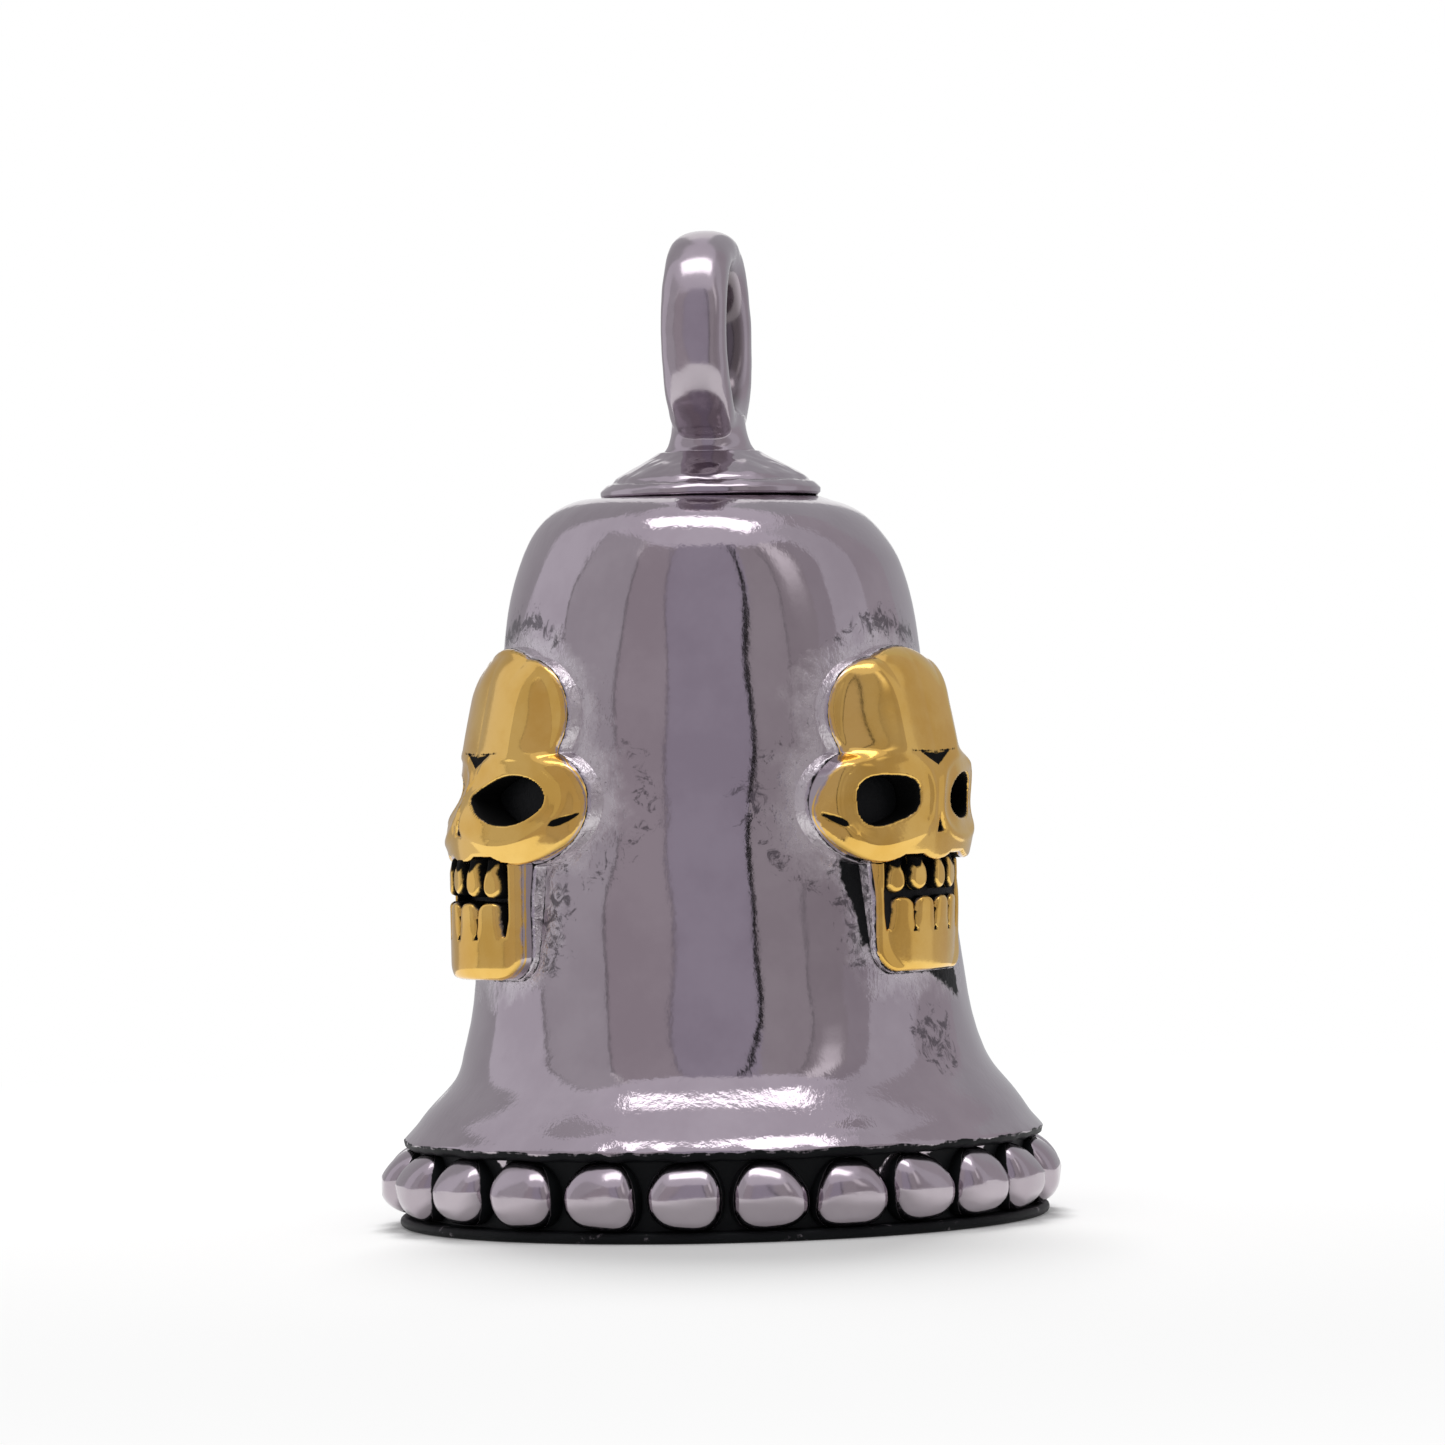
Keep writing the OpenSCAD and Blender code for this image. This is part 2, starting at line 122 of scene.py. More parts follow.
def gridFaces(rows, columns, ringRows=False, ringColumns=True):
    # one face for each square of a grid whose points run row by row; a ring joins its last line to its first
    i, j = np.meshgrid(np.arange(rows - (not ringRows)), np.arange(columns - (not ringColumns)), indexing="ij")
    ni, nj = (i + 1) % rows, (j + 1) % columns
    return np.stack([i * columns + j, ni * columns + j, ni * columns + nj, i * columns + nj], -1).reshape(-1, 4)


def poleFaces(rows, columns):
    # triangles from two pole points, which follow the grid's own, to its first and its last row
    j = np.arange(columns)
    k = (j + 1) % columns
    pole, last = np.full(columns, rows * columns), (rows - 1) * columns
    return np.concatenate([np.stack([pole, j, k], -1), np.stack([pole + 1, last + k, last + j], -1)])


def joined(parts):
    # several points and faces as one: each part's face numbers are moved on by the points before it
    start, points, quads, tris = 0, [], [], []
    for p, faces in parts:
        points.append(p)
        quads.append(faces[0] + start)
        tris += [f + start for f in faces[1:]]
        start += len(p)
    return np.concatenate(points), [np.concatenate(quads), np.concatenate(tris)]


def cubic(a, b, c, d, count):
    # a cubic curve: its four points weighted by (1-t)^3, 3t(1-t)^2, 3t^2(1-t) and t^3
    t = np.linspace(0, 1, count)[:, None]
    s = 1 - t
    a, b, c, d = (np.array(p, float) for p in (a, b, c, d))
    return s ** 3 * a + 3 * s * s * t * b + 3 * s * t * t * c + t ** 3 * d


def spaced(line, step):
    # the same line with its points step apart along it
    line = np.asarray(line, float)
    along = np.concatenate([[0], np.cumsum(np.linalg.norm(np.diff(line, axis=0), axis=1))])
    count = max(2, int(round(along[-1] / step)) + 1)
    at = np.linspace(0, along[-1], count)
    return np.stack([np.interp(at, along, line[:, k]) for k in range(line.shape[1])], 1)


def softened(line, radius):
    # a line with round corners: each point is the weighted mean of the line within radius of it, and the ends are kept
    step = 0.02
    line = spaced(line, step)
    n = max(1, int(radius / step))
    kernel = np.hanning(2 * n + 3)[1:-1]
    kernel /= kernel.sum()
    padded = np.concatenate([2 * line[0] - line[n:0:-1], line, 2 * line[-1] - line[-2:-n - 2:-1]])
    return np.stack([np.convolve(v, kernel, "valid") for v in padded.T], 1)


def densest(line, count, bend):
    # count points along a line, closer where it turns: spacing follows length plus bend times the angle turned
    d = np.diff(line, axis=0)
    heading = np.unwrap(np.arctan2(d[:, 1], d[:, 0]))
    turn = np.abs(np.diff(heading, prepend=heading[0]))
    along = np.concatenate([[0], np.cumsum(np.linalg.norm(d, axis=1) + bend * turn)])
    at = np.linspace(0, along[-1], count)
    return np.stack([np.interp(at, along, line[:, k]) for k in range(2)], 1)


def waves(p, length, seed):
    # a smooth wavy field of about 1 each way: the sum of 14 sine waves of about the given length in mixed directions
    count = 14
    rng = np.random.default_rng(seed)
    k = rng.normal(size=(count, 3))
    k /= np.linalg.norm(k, axis=1)[:, None]
    k *= (2 * np.pi / length) * rng.uniform(0.7, 1.4, count)[:, None]
    phase = rng.uniform(0, 2 * np.pi, count)
    return sum(np.sin(p @ q + f) for q, f in zip(k, phase)) / math.sqrt(count / 2)


def ease(v, low, high):
    # 0 at low, 1 at high, and 3t^2 - 2t^3 between
    t = np.clip((v - low) / (high - low), 0, 1)
    return t * t * (3 - 2 * t)


def turnedPiece(profile, turns):
    # a profile of radius and height, from axis to axis, carried round it: x = r cos a, y = r sin a
    angle = np.arange(turns) * 2 * np.pi / turns
    radius, height = profile[1:-1, :1], profile[1:-1, 1:]
    rows = len(radius)
    points = np.stack([radius * np.cos(angle), radius * np.sin(angle), np.repeat(height, turns, 1)], -1).reshape(-1, 3)
    points = np.concatenate([points, [[0, 0, profile[0, 1]], [0, 0, profile[-1, 1]]]])
    return points, [gridFaces(rows, turns), poleFaces(rows, turns)]


def ringPath(radius, height, count, alongX):
    # an upright circle, in the plane of X and Z or of Y and Z
    t = np.arange(count) * 2 * np.pi / count
    u, z = radius * np.cos(t), height + radius * np.sin(t)
    return np.stack([u, 0 * u, z] if alongX else [0 * u, u, z], -1)


def sweptTube(path, radius, around, closed=True):
    # a round wire along a flat path: at each point a circle of the given radius stands square to the path
    n = len(path)
    ahead = np.roll(path, -1, 0) - np.roll(path, 1, 0) if closed else np.gradient(path, axis=0)
    ahead /= np.linalg.norm(ahead, axis=1)[:, None]
    flat = np.cross(path[n // 3] - path[0], path[n // 2] - path[0])
    side = np.tile(flat / np.linalg.norm(flat), (n, 1))
    out = np.cross(ahead, side)
    a = (np.arange(around) * 2 * np.pi / around)[None, :, None]
    points = (path[:, None] + radius * (np.cos(a) * side[:, None] + np.sin(a) * out[:, None])).reshape(-1, 3)
    if closed:
        return points, [gridFaces(n, around, True)]
    return np.concatenate([points, [path[0], path[-1]]]), [gridFaces(n, around), poleFaces(n, around)]


def newMaterial(name):
    m = bpy.data.materials.new(name)
    m.use_nodes = True
    return m, m.node_tree


def emptyMaterial(name):
    # only the output node is left, and the material's own glow is never sampled as a lamp
    m, tree = newMaterial(name)
    tree.nodes.clear()
    m.cycles.emission_sampling = "NONE"
    return m, tree, tree.nodes.new("ShaderNodeOutputMaterial")


def node(tree, kind, settings=None, **inputs):
    # a shader node with its settings and sockets, named or counted as i0, i1; a value may be another node's output
    n = tree.nodes.new(kind)
    for key, v in (settings or {}).items():
        setattr(n, key, v)
    for key, v in inputs.items():
        socket = n.inputs[int(key[1:]) if key[1:].isdigit() else key]
        if isinstance(v, bpy.types.NodeSocket):
            tree.links.new(v, socket)
        else:
            socket.default_value = v
    return n


def objectPlace(tree, scale=(1, 1, 1), turn=(0, 0, 0)):
    # Object coordinates in metres, stretched and turned
    c = tree.nodes.new("ShaderNodeTexCoord")
    return node(tree, "ShaderNodeMapping", Vector=c.outputs["Object"], Scale=scale, Rotation=turn).outputs[0]


def noise(tree, place, size, detail=3.0, rough=0.55, distort=0.0):
    # cloudy noise with features of about size mm
    return node(tree, "ShaderNodeTexNoise", Vector=place, Scale=1000.0 / size, Detail=detail,
                Roughness=rough, Distortion=distort).outputs["Fac"]


def calc(tree, how, a, b):
    return node(tree, "ShaderNodeMath", {"operation": how}, i0=a, i1=b).outputs[0]


def times(tree, a, b):
    return calc(tree, "MULTIPLY", a, b)


def remap(tree, v, low, high, toLow=0.0, toHigh=1.0):
    return node(tree, "ShaderNodeMapRange", {"interpolation_type": "SMOOTHSTEP"}, i0=v, i1=low, i2=high,
                i3=toLow, i4=toHigh).outputs[0]


def blendColour(tree, factor, a, b):
    # a to b as factor runs from 0 to 1; a colour of three numbers gets its fourth
    a, b = ((*v, 1.0) if isinstance(v, tuple) else v for v in (a, b))
    return node(tree, "ShaderNodeMix", {"data_type": "RGBA"}, i0=factor, i6=a, i7=b).outputs[2]


def blendValue(tree, factor, a, b):
    return node(tree, "ShaderNodeMix", {"data_type": "FLOAT"}, i0=factor, i2=a, i3=b).outputs[0]


def mark(tree, name):
    return node(tree, "ShaderNodeAttribute", {"attribute_name": name, "attribute_type": "GEOMETRY"}).outputs["Fac"]


def ragged(tree, name, place, amount, size, detail=4.0, rough=0.65, distort=0.0):
    # a mesh value with an uneven edge: the value plus (noise - 0.5) times amount
    uneven = calc(tree, "SUBTRACT", noise(tree, place, size, detail, rough, distort), 0.5)
    return calc(tree, "ADD", mark(tree, name), times(tree, uneven, amount))


def bump(tree, height, distance, strength, after=None):
    n = node(tree, "ShaderNodeBump", Height=height, Distance=distance * mm, Strength=strength)
    if after is not None:
        tree.links.new(after, n.inputs["Normal"])
    return n.outputs[0]


def finishMetal(tree, look, black, colour, rough, normal):
    # where black is 1 the metal is under soot, which is dark, dull and hardly metallic
    shader = tree.nodes["Principled BSDF"]
    shader.inputs["Specular IOR Level"].default_value = look["specular"]
    colour = blendColour(tree, black, colour, look["sootColour"])
    rough = blendValue(tree, black, rough, look["sootRoughness"])
    metallic = calc(tree, "SUBTRACT", 1.0, times(tree, black, look["sootCover"]))
    for name, v in (("Metallic", metallic), ("Base Color", colour), ("Roughness", rough), ("Normal", normal)):
        tree.links.new(v, shader.inputs[name])


def castSurface(tree, look):
    # two shades mixed by clouds, and low bumps by the clouds and a grain
    place = objectPlace(tree)
    cloud = noise(tree, place, look["cloud"], 4.0, 0.6)
    grain = noise(tree, place, look["grain"], 3.0, 0.6)
    colour = blendColour(tree, remap(tree, cloud, 0.35, 0.65), look["dark"], look["light"])
    normal = bump(tree, cloud, look["cloudHeight"], 0.35)
    return place, grain, colour, bump(tree, grain, look["grainHeight"], 0.25, normal)


silverLook = {
    "light": (0.500, 0.446, 0.486),
    "dark": (0.452, 0.398, 0.438),
    "cloud": 3.5, "cloudHeight": 0.035,      # size and height in mm
    "grain": 0.16, "grainHeight": 0.006,
    "cutting": 0.26, "cuttingHeight": 0.06,
    "ripple": 0.24, "rippleHeight": 0.011,
    "roughness": 0.06,
    "scratches": 0.04,                       # how much rougher the scratches are
    "specular": 0.12,
    "frosted": (0.740, 0.700, 0.725),
    "frostRoughness": 0.30,
    "pitColour": (0.070, 0.062, 0.072),
    "paintedShadeColour": (0.120, 0.100, 0.108),    # painted shade: the grey that the shade value blends in
    "sootColour": (0.010, 0.011, 0.012),
    "sootRoughness": 0.5,
    "sootCover": 0.75,
}


def makeSilver(name, look, extraRough=0.0, marked=False, scratchTurn=0.4):
    # polished cast silver: two greys mixed by clouds, fine scratches in the gloss, painted shade in grey by the shade
    # value, and black by soot; a marked one is also cut and pale where frost is above nought, with black pits there and
    # by stain
    m, tree = newMaterial(name)
    place, _, colour, normal = castSurface(tree, look)
    scratch = noise(tree, objectPlace(tree, (1, 1, 0.06), (scratchTurn, 0.2, 0)), 0.22, 4.0, 0.65)
    rough = remap(tree, scratch, 0.45, 0.75, 0.0, look["scratches"])
    rough = calc(tree, "ADD", rough, look["roughness"] + extraRough)
    if marked:
        reach = ragged(tree, "frost", place, 4.5, 1.3)
        frosted = remap(tree, reach, -0.6, 1.4)
        colour = blendColour(tree, times(tree, frosted, 0.8), colour, look["frosted"])
        rough = blendValue(tree, frosted, rough, look["frostRoughness"])
        speck = noise(tree, place, 0.24, 4.0, 0.75, 0.5)
        pit = times(tree, remap(tree, speck, 0.60, 0.70), remap(tree, reach, -1.0, 0.6))
        stain = remap(tree, ragged(tree, "stain", place, 7.0, 0.6, 5.0, 0.75, 0.8), 0.0, 0.9)
        pit = calc(tree, "MAXIMUM", times(tree, pit, 0.55), times(tree, stain, 0.75))
        colour = blendColour(tree, pit, colour, look["pitColour"])
        rough = calc(tree, "ADD", rough, times(tree, pit, 0.25))
        cut = noise(tree, objectPlace(tree, (1, 1, 0.6), (0.7, 0.3, 0.5)), look["cutting"], 3.0, 0.6, 0.4)
        normal = bump(tree, times(tree, cut, frosted), look["cuttingHeight"], 0.9, normal)
        # fine ripples on the flare and the shoulder, by height in metres
        height = node(tree, "ShaderNodeSeparateXYZ", Vector=objectPlace(tree)).outputs["Z"]
        zone = calc(tree, "ADD", remap(tree, height, 0.0066, 0.0056), remap(tree, height, 0.0250, 0.0258))
        ripple = noise(tree, objectPlace(tree, (1, 1, 0.7)), look["ripple"], 3.0, 0.6)
        normal = bump(tree, times(tree, ripple, zone), look["rippleHeight"], 0.9, normal)
    # painted shade: grey blended in by the shade value, which is set on the inside of the loop's ring
    colour = blendColour(tree, mark(tree, "shade"), colour, look["paintedShadeColour"])
    black = remap(tree, ragged(tree, "soot", place, 2.2, 0.35), -0.25, 0.35)
    finishMetal(tree, look, black, colour, rough, normal)
    return m


giltLook = {
    "light": (0.900, 0.590, 0.170),
    "dark": (0.820, 0.500, 0.115),
    "cloud": 2.6, "cloudHeight": 0.03,
    "grain": 0.14, "grainHeight": 0.005,
    "roughness": 0.11,
    "scratches": 0.04,
    "specular": 0.05,
    "bare": (0.500, 0.446, 0.486),           # the silver where the gold is worn off
    "sootColour": (0.006, 0.006, 0.006),
    "sootRoughness": 0.6,
    "sootCover": 0.9,
}


def makeGilt(name, look):
    # gold plate: two golds mixed by clouds, silver where bare is above nought, and black by soot
    m, tree = newMaterial(name)
    place, grain, colour, normal = castSurface(tree, look)
    bare = remap(tree, ragged(tree, "bare", place, 1.0, 0.5, 3.0, 0.55), -0.2, 0.3)
    colour = blendColour(tree, bare, colour, look["bare"])
    rough = calc(tree, "ADD", remap(tree, grain, 0.4, 0.7, 0.0, look["scratches"]), look["roughness"])
    black = remap(tree, ragged(tree, "soot", place, 0.9, 0.25), -0.2, 0.3)
    finishMetal(tree, look, black, colour, rough, normal)
    return m


shellSilver = makeSilver("shellSilver", silverLook, marked=True)
beadSilver = makeSilver("beadSilver", silverLook, 0.09)
capSilver = makeSilver("capSilver", silverLook, 0.07, scratchTurn=1.2)
loopSilver = makeSilver("loopSilver", silverLook, 0.11, scratchTurn=0.9)
wireSilver = makeSilver("wireSilver", silverLook, 0.10)
ballSilver = makeSilver("ballSilver", silverLook, 0.06)
seatSilver = makeSilver("seatSilver", silverLook, 0.08, marked=True)
gilt = makeGilt("gilt", giltLook)
print("materials made")


bell = {
    "lip": (12.30, 3.35), "channelTop": 3.02, "channel": 11.8, "footRise": 0.42, "foot": 12.5, "footRound": 0.21,
    "mouth": (11.0, 0.5), "waistLow": (9.45, 9.25), "waistHigh": (8.0, 22.0), "waistSlope": 0.11373,
    "crown": (4.0, 27.75), "crownUnder": (2.7, 26.25),
    # the flare's knots: a slightly steeper ring low down, then the spread to the lip
    "flare": ((9.535, 8.5), (9.665, 7.75), (9.86, 7.0), (10.14, 6.25), (10.30, 5.95), (10.53, 5.6), (11.17, 4.85),
              (11.50, 4.40), (11.83, 3.88)),
    "turns": 360, "outsideRows": 216, "insideRows": 46,
    "handmade": 0.019,       # waviness of the skin
    "dent": 0.27,            # a shallow dent in the flare's left side
    "ragged": 0.035,         # unevenness of the lip
    "drop": (0.027, 0.007),  # the shoulder was filed lower on one side, by this much for each mm across
}

skull = {
    "turns": (94.0, 214.0, 334.0),
    # radius, distance across and height of the crown's, temples', cheekbones' and upper jaw's circles
    "circles": ((3.6, 0, 18.25), (2.3, 1.55, 19.15), (2.12, 2.88, 15.86), (1.88, 0, 15.63)),
    "block": (2.9, 13.98, 18.2),         # half width, foot and top of the face between them
    "mouthLine": 15.5,
    "chin": 9.6, "chinCorner": 0.9, "jawHalf": 2.84,
    "seat": 0.5, "seatChin": 0.27,       # the seat's thickness, and how much thinner it is at the chin
    # the rest is for each skull in turn: the forehead bends round an upright axis this far from the bell's own
    "highAxis": (3.5, 3.5, 2.6),
    "lowAxis": (4.2, 5.3, 3.0),          # and the cheeks round another
    "highReach": (0.0, -0.10, 0.16),     # how much further the forehead stands out
    "lowReach": (0.0, 0.33, -0.14),      # and the upper jaw
    "raised": (0.0, 0.24, 0.0),          # how much higher it was set, its chin apart
    "crease": (1.9, 2.15, 1.7),          # the forehead's fold, across from its middle
    "templeFall": (0.52, 0.52, 0.66),    # how far the forehead falls away beyond its fold
    "cheekFall": (0.14, 0.14, 0.36),
    "fullSide": (1, 1, -1),              # the side on which the crown is rounder
    "jawAxis": (6.3, 7.1, 5.5),          # the jaw's own upright axis
    "jawReach": (4.15, 3.77, 4.61),      # and how far the jaw stands from that
    "jawLean": (0.0, 0.0, 0.06),         # how much it runs in towards the chin
    "chinTuck": (0.10, 0.48, 0.10),
}


def own(key, number):
    return skull[key][number - 1]


def lifted(z, number):
    return own("raised", number) * ease(z, 10.5, 14.5)


def waistRadius(z):
    # a straight line: the radius at the waist's foot less the slope times the height over it
    return bell["waistLow"][0] - (z - bell["waistLow"][1]) * bell["waistSlope"]


def craniumShape(u, z):
    # depth inside the union of circles and block: the largest of each radius - distance, and of the block's depth
    half, foot, top = skull["block"]
    v = np.abs(u)
    d = np.minimum(half - v, np.minimum(z - foot, top - z))
    for r, across, height in skull["circles"]:
        d = np.maximum(d, r - np.hypot(v - across, z - height))
    return d


def jawShape(u, z):
    # depth inside a block with round corners, which narrows towards the chin
    half = skull["jawHalf"] - 0.01 * (13.5 - z)
    r = skull["chinCorner"]
    x, y = np.abs(u) - half + r, skull["chin"] + r - z
    return r - np.hypot(np.maximum(x, 0), np.maximum(y, 0)) - np.minimum(np.maximum(x, y), 0)


def skullShape(u, z):
    return np.maximum(craniumShape(u, z), np.minimum(jawShape(u, z), skull["mouthLine"] - z))


def facing(turn):
    # across a face that looks along turn, and out from it
    a = math.radians(turn)
    return np.array([-math.sin(a), math.cos(a), 0]), np.array([math.cos(a), math.sin(a), 0])


def jawWedge(u, z):
    # black left in the corner between cheekbone and jaw: above 0 inside a wedge that narrows downwards
    outer = 3.28 + 0.46 * ease(z, 11.2, 13.6)
    sides = np.minimum((u - 2.5) * 8, (outer - u) * 5)
    return np.clip(np.minimum(sides, np.minimum((z - 10.6) * 3, (14.4 - z) * 8)), -3, 2.5)


def chinPatch(u, z):
    # black left under one side of the chin, over a foot that rises to that side
    foot = 8.5 + 0.45 * (2.4 - u)
    sides = np.minimum((u + 0.4) * 2.5, (2.7 - u) * 3)
    return np.clip(np.minimum(sides, np.minimum((9.75 - z) * 8, (z - foot) * 2.5)), -3, 1.2)


def stainOn(u, h, away, number):
    # tarnish over the crown, beside the jaw and cheek, and on the right flare: above 0 within each patch
    side = -1.0 if number == 3 else 1.0
    crown = 0.75 - 1.9 * np.abs(away - 0.95) - 1.2 * np.maximum(np.abs(u + 0.3 * side) - 2.2, 0) - 4 * (h < 20.6)
    besideJaw = 0.6 - 1.5 * np.abs(u * side - 3.55 - 0.05 * (h - 12)) - 1.5 * np.maximum(np.abs(h - 11.9) - 1.9, 0)
    besideCheek = 0.15 - 1.6 * np.abs(away - 1.35) - 1.0 * np.maximum(np.abs(h - 15.5) - 2.5, 0)
    onFlare = 0.40 - 1.0 * np.hypot(u / 1.6, (h - 7.0) / 1.5) ** 3 if number == 3 else -3.0
    return np.clip(np.maximum(np.maximum(crown, besideJaw), np.maximum(besideCheek, onFlare)), -3, 1)


def bellProfile(b):
    # radius and height from the crown's top down the outside, round the foot and up the inside
    lip, mouth, high, under = b["lip"], b["mouth"], b["crown"], b["crownUnder"]
    turns = np.linspace(math.pi / 2, -math.pi / 2, 9)
    foot = [(b["foot"] + b["footRound"] * (math.cos(t) - 1), b["footRound"] * (1 + math.sin(t))) for t in turns]
    outside = np.concatenate([
        [(0, high[1])],
        cubic(high, (6.6, 27.75), (7.6, 25.51), b["waistHigh"], 120)[:-1],
        cubic(b["waistHigh"], (8.4833, 17.75), (8.9667, 13.5), b["waistLow"], 60)[:-1],
        softened([b["waistLow"], *b["flare"], lip], 0.28)[::4],
        [(12.26, 3.14), (12.10, b["channelTop"]), (b["channel"], b["channelTop"]), (b["channel"], b["footRise"])],
        foot, [(mouth[0], 0)]])
    inside = np.concatenate([
        [(mouth[0], 0)], cubic(mouth, (10.09, 2.65), (8.571, 5.58), (8.17, 9.10), 30),
        cubic((6.7, 20.5), (6.37, 23.95), (5.1, 26.25), under, 30), [(0, under[1])]])
    outside = densest(softened(outside, 0.07), b["outsideRows"], 0.22)
    return np.concatenate([outside, densest(softened(inside, 0.10), b["insideRows"], 0.5)[1:]])


def makeBell(b):
    points, faces = turnedPiece(bellProfile(b), b["turns"])
    radius, z = np.hypot(points[:, 0], points[:, 1]), points[:, 2].copy()
    angle = np.arctan2(points[:, 1], points[:, 0])
    outer = np.arange(len(points)) < (b["outsideRows"] - 1) * b["turns"]
    x, y = np.cos(angle), np.sin(angle)

    # made by hand: the radius grows by waves less a dent, the lip is ragged, and the shoulder drops to one side
    skin = np.stack([x * 9, y * 9, z * 0.55], -1)
    hand = b["handmade"] * waves(skin, 5.0, 3) + 0.008 * waves(skin, 2.4, 4)
    dent = b["dent"] * np.clip(-x, 0, 1) ** 2 * np.exp(-((z - 5.4) / 1.0) ** 2)
    grow = (hand - dent) * (ease(radius, 3.5, 6.5) * outer * (z > 3.3))
    nearLip = np.exp(-((z - 3.2) / 0.22) ** 2) * (radius > 11.9)
    points[:, :2] *= ((radius + grow) / np.maximum(radius, 1e-6))[:, None]
    points[:, 2] += b["ragged"] * waves(np.stack([x * 12, y * 12, 0 * z], -1), 1.1, 8) * nearLip
    drop = b["drop"][0] * points[:, 0] + b["drop"][1] * np.abs(points[:, 0])
    points[:, 2] -= drop * ease(radius, 3.95, 4.9) * ease(z, 25.0, 26.8) * outer

    # soot fills the channel under the lip, thinner where it rubbed bare; the inside is dull
    soot, frost, stain = np.full((3, len(points)), -3.0)
    rubbed = ease(waves(np.stack([x * 12, y * 12, z], -1), 2.6, 44), 0.5, 1.2)
    inChannel = np.clip((12.24 - radius) * 10 + 0.8, -3, 1.6 - 2.2 * rubbed * (z > 2.0))
    soot = np.where((z > 0.30) & (z < 3.36) & outer, inChannel, soot)
    soot = np.where((z > 3.0) & (z < 3.6) & outer & (radius > 12.0), np.maximum(soot, (3.30 - z) * 10), soot)
    soot = np.where(~outer & (z > 0.6), -0.5, soot)
    # frost lies round each skull, soot under its edge and in its corners, and tarnish a little further out
    for number, turn in enumerate(skull["turns"], 1):
        across, out = facing(turn)
        u, front = points @ across, (points @ out > 0) & outer
        h = points[:, 2] - lifted(points[:, 2], number)
        away = -skullShape(u, h)
        near, low = front & (z > 8), ease(h, 14.6, 13.4)
        frost = np.where(near, np.maximum(frost, np.clip((0.80 - away) * 1.5, -3, 2.0)), frost)
        black = np.clip((0.09 - away) * 9, -3, 2) * low - 3 * (1 - low)
        if number == 3:
            black = np.maximum(black, np.maximum(jawWedge(-u, h), chinPatch(u, h)))
        soot = np.where(near, np.maximum(soot, black), soot)
        stain = np.where(front, np.maximum(stain, stainOn(u, h, away, number)), stain)
    soot = np.where((z < 0.55) & (radius > 11.9), 1.2 - 0.75 * rubbed, soot)
    mesh = makeMesh("bellShell", points, faces, {"soot": soot, "frost": frost, "stain": stain})
    addPiece("bellShell", mesh, "bell", ["bell_body"], shellSilver)


makeBell(bell)


beads = {
    "count": 24, "around": 44, "across": 30,
    "middle": 1.70, "halfHeight": 1.30, "lowest": 0.44, "highest": 2.99,
    "backRadius": 11.83, "depth": 1.2, "halfLength": 1.56, "bendRadius": 12.55,
    "power": 3.2,                      # 2 is an oval and more is squarer
    "worn": 0.025,                     # waviness of the face
    "firstTurn": 0.4, "wander": 1.3,   # degrees
    "proud": 0.18, "raised": 0.12,     # those on one side were set a little proud and high
}


def makeBeads(b):
    # each bead is a pillow: sin and cos of longitude and latitude raised to 2 / power, then bent to the rim's circle
    rng = np.random.default_rng(21)
    lon = np.arange(b["around"]) * 2 * np.pi / b["around"]
    lat = np.linspace(-np.pi / 2, np.pi / 2, b["across"])[1:-1]
    upper = ease(lat, -0.35, 0.30)     # the upper face is worn flat, the lower one is full
    faces = [gridFaces(len(lat), len(lon)), poleFaces(len(lat), len(lon))]
    endsBlack = 3 * np.concatenate([np.tile(ease(np.abs(np.cos(lon)), 0.80, 0.90), len(lat)), [0, 0]]) - 2
    parts, soot = [], []

    def pull(v, p):
        return np.sign(v) * np.abs(v) ** (2 / p)

    for i in range(b["count"]):
        p = b["power"] + rng.uniform(-0.35, 0.45)
        half = b["halfLength"] * rng.uniform(0.95, 1.02)
        high = b["halfHeight"] * rng.uniform(0.97, 1.0)
        skew, taper, lift = rng.uniform(-0.09, 0.09), rng.uniform(-0.14, 0.14), rng.uniform(-0.02, 0.03)
        at = 2 * math.pi * i / b["count"]
        toFront = max(-math.cos(at), 0) ** 2
        deep = b["depth"] + b["proud"] * toFront
        # the poles point up and down; longitude runs round the bead seen from above
        u = half * pull(np.cos(lat), p * 0.93)[:, None] * pull(np.cos(lon), p)[None]
        d = deep * pull(np.cos(lat), 2.5 - 1.05 * upper)[:, None] * pull(np.sin(lon), 2.1)[None]
        v = high * np.repeat(pull(np.sin(lat), 2.4 - 0.75 * upper)[:, None], len(lon), 1)
        u, d, v = (np.concatenate([k.ravel(), ends]) for k, ends in ((u, [0, 0]), (d, [0, 0]), (v, [-high, high])))
        u = u * (1 + taper * v / high) + skew * v
        v = v * (1 + 0.10 * rng.uniform(-1, 1) * u / half)
        d = d + b["worn"] * waves(np.stack([u, d, v], -1) + 9 * i, 1.9, 31) * (d > 0)
        d = np.clip(d, -0.4, deep - 0.015)              # the back stays inside the shell's wall
        v = np.clip(v + b["middle"] + lift + b["raised"] * toFront, b["lowest"], b["highest"])
        a = at + math.radians(b["firstTurn"] + b["wander"] * math.cos(2 * at + math.pi)) + u / b["bendRadius"]
        r = b["backRadius"] + d
        parts.append((np.stack([r * np.cos(a), r * np.sin(a), v], -1), faces))
        soot.append(np.clip(np.maximum((0.05 - d) * 10, endsBlack), -3, 3))
    points, faces = joined(parts)
    mesh = makeMesh("rimBeads", points, faces, {"soot": np.concatenate(soot)})
    addPiece("rimBeads", mesh, "bell", ["rim_beads"], beadSilver)


makeBeads(beads)


cap = {
    "aside": 0.12, "radius": 4.24, "low": 27.75, "edge": 0.28, "foot": 1.95, "top": 29.5, "turns": 300, "rows": 90,
    "groove": (3.80, 0.10, 0.11),    # radius, half width and depth of the hammered line just inside the edge
    "seam": (2.0, 0.18, 0.012),      # and of the solder's line round the loop
}


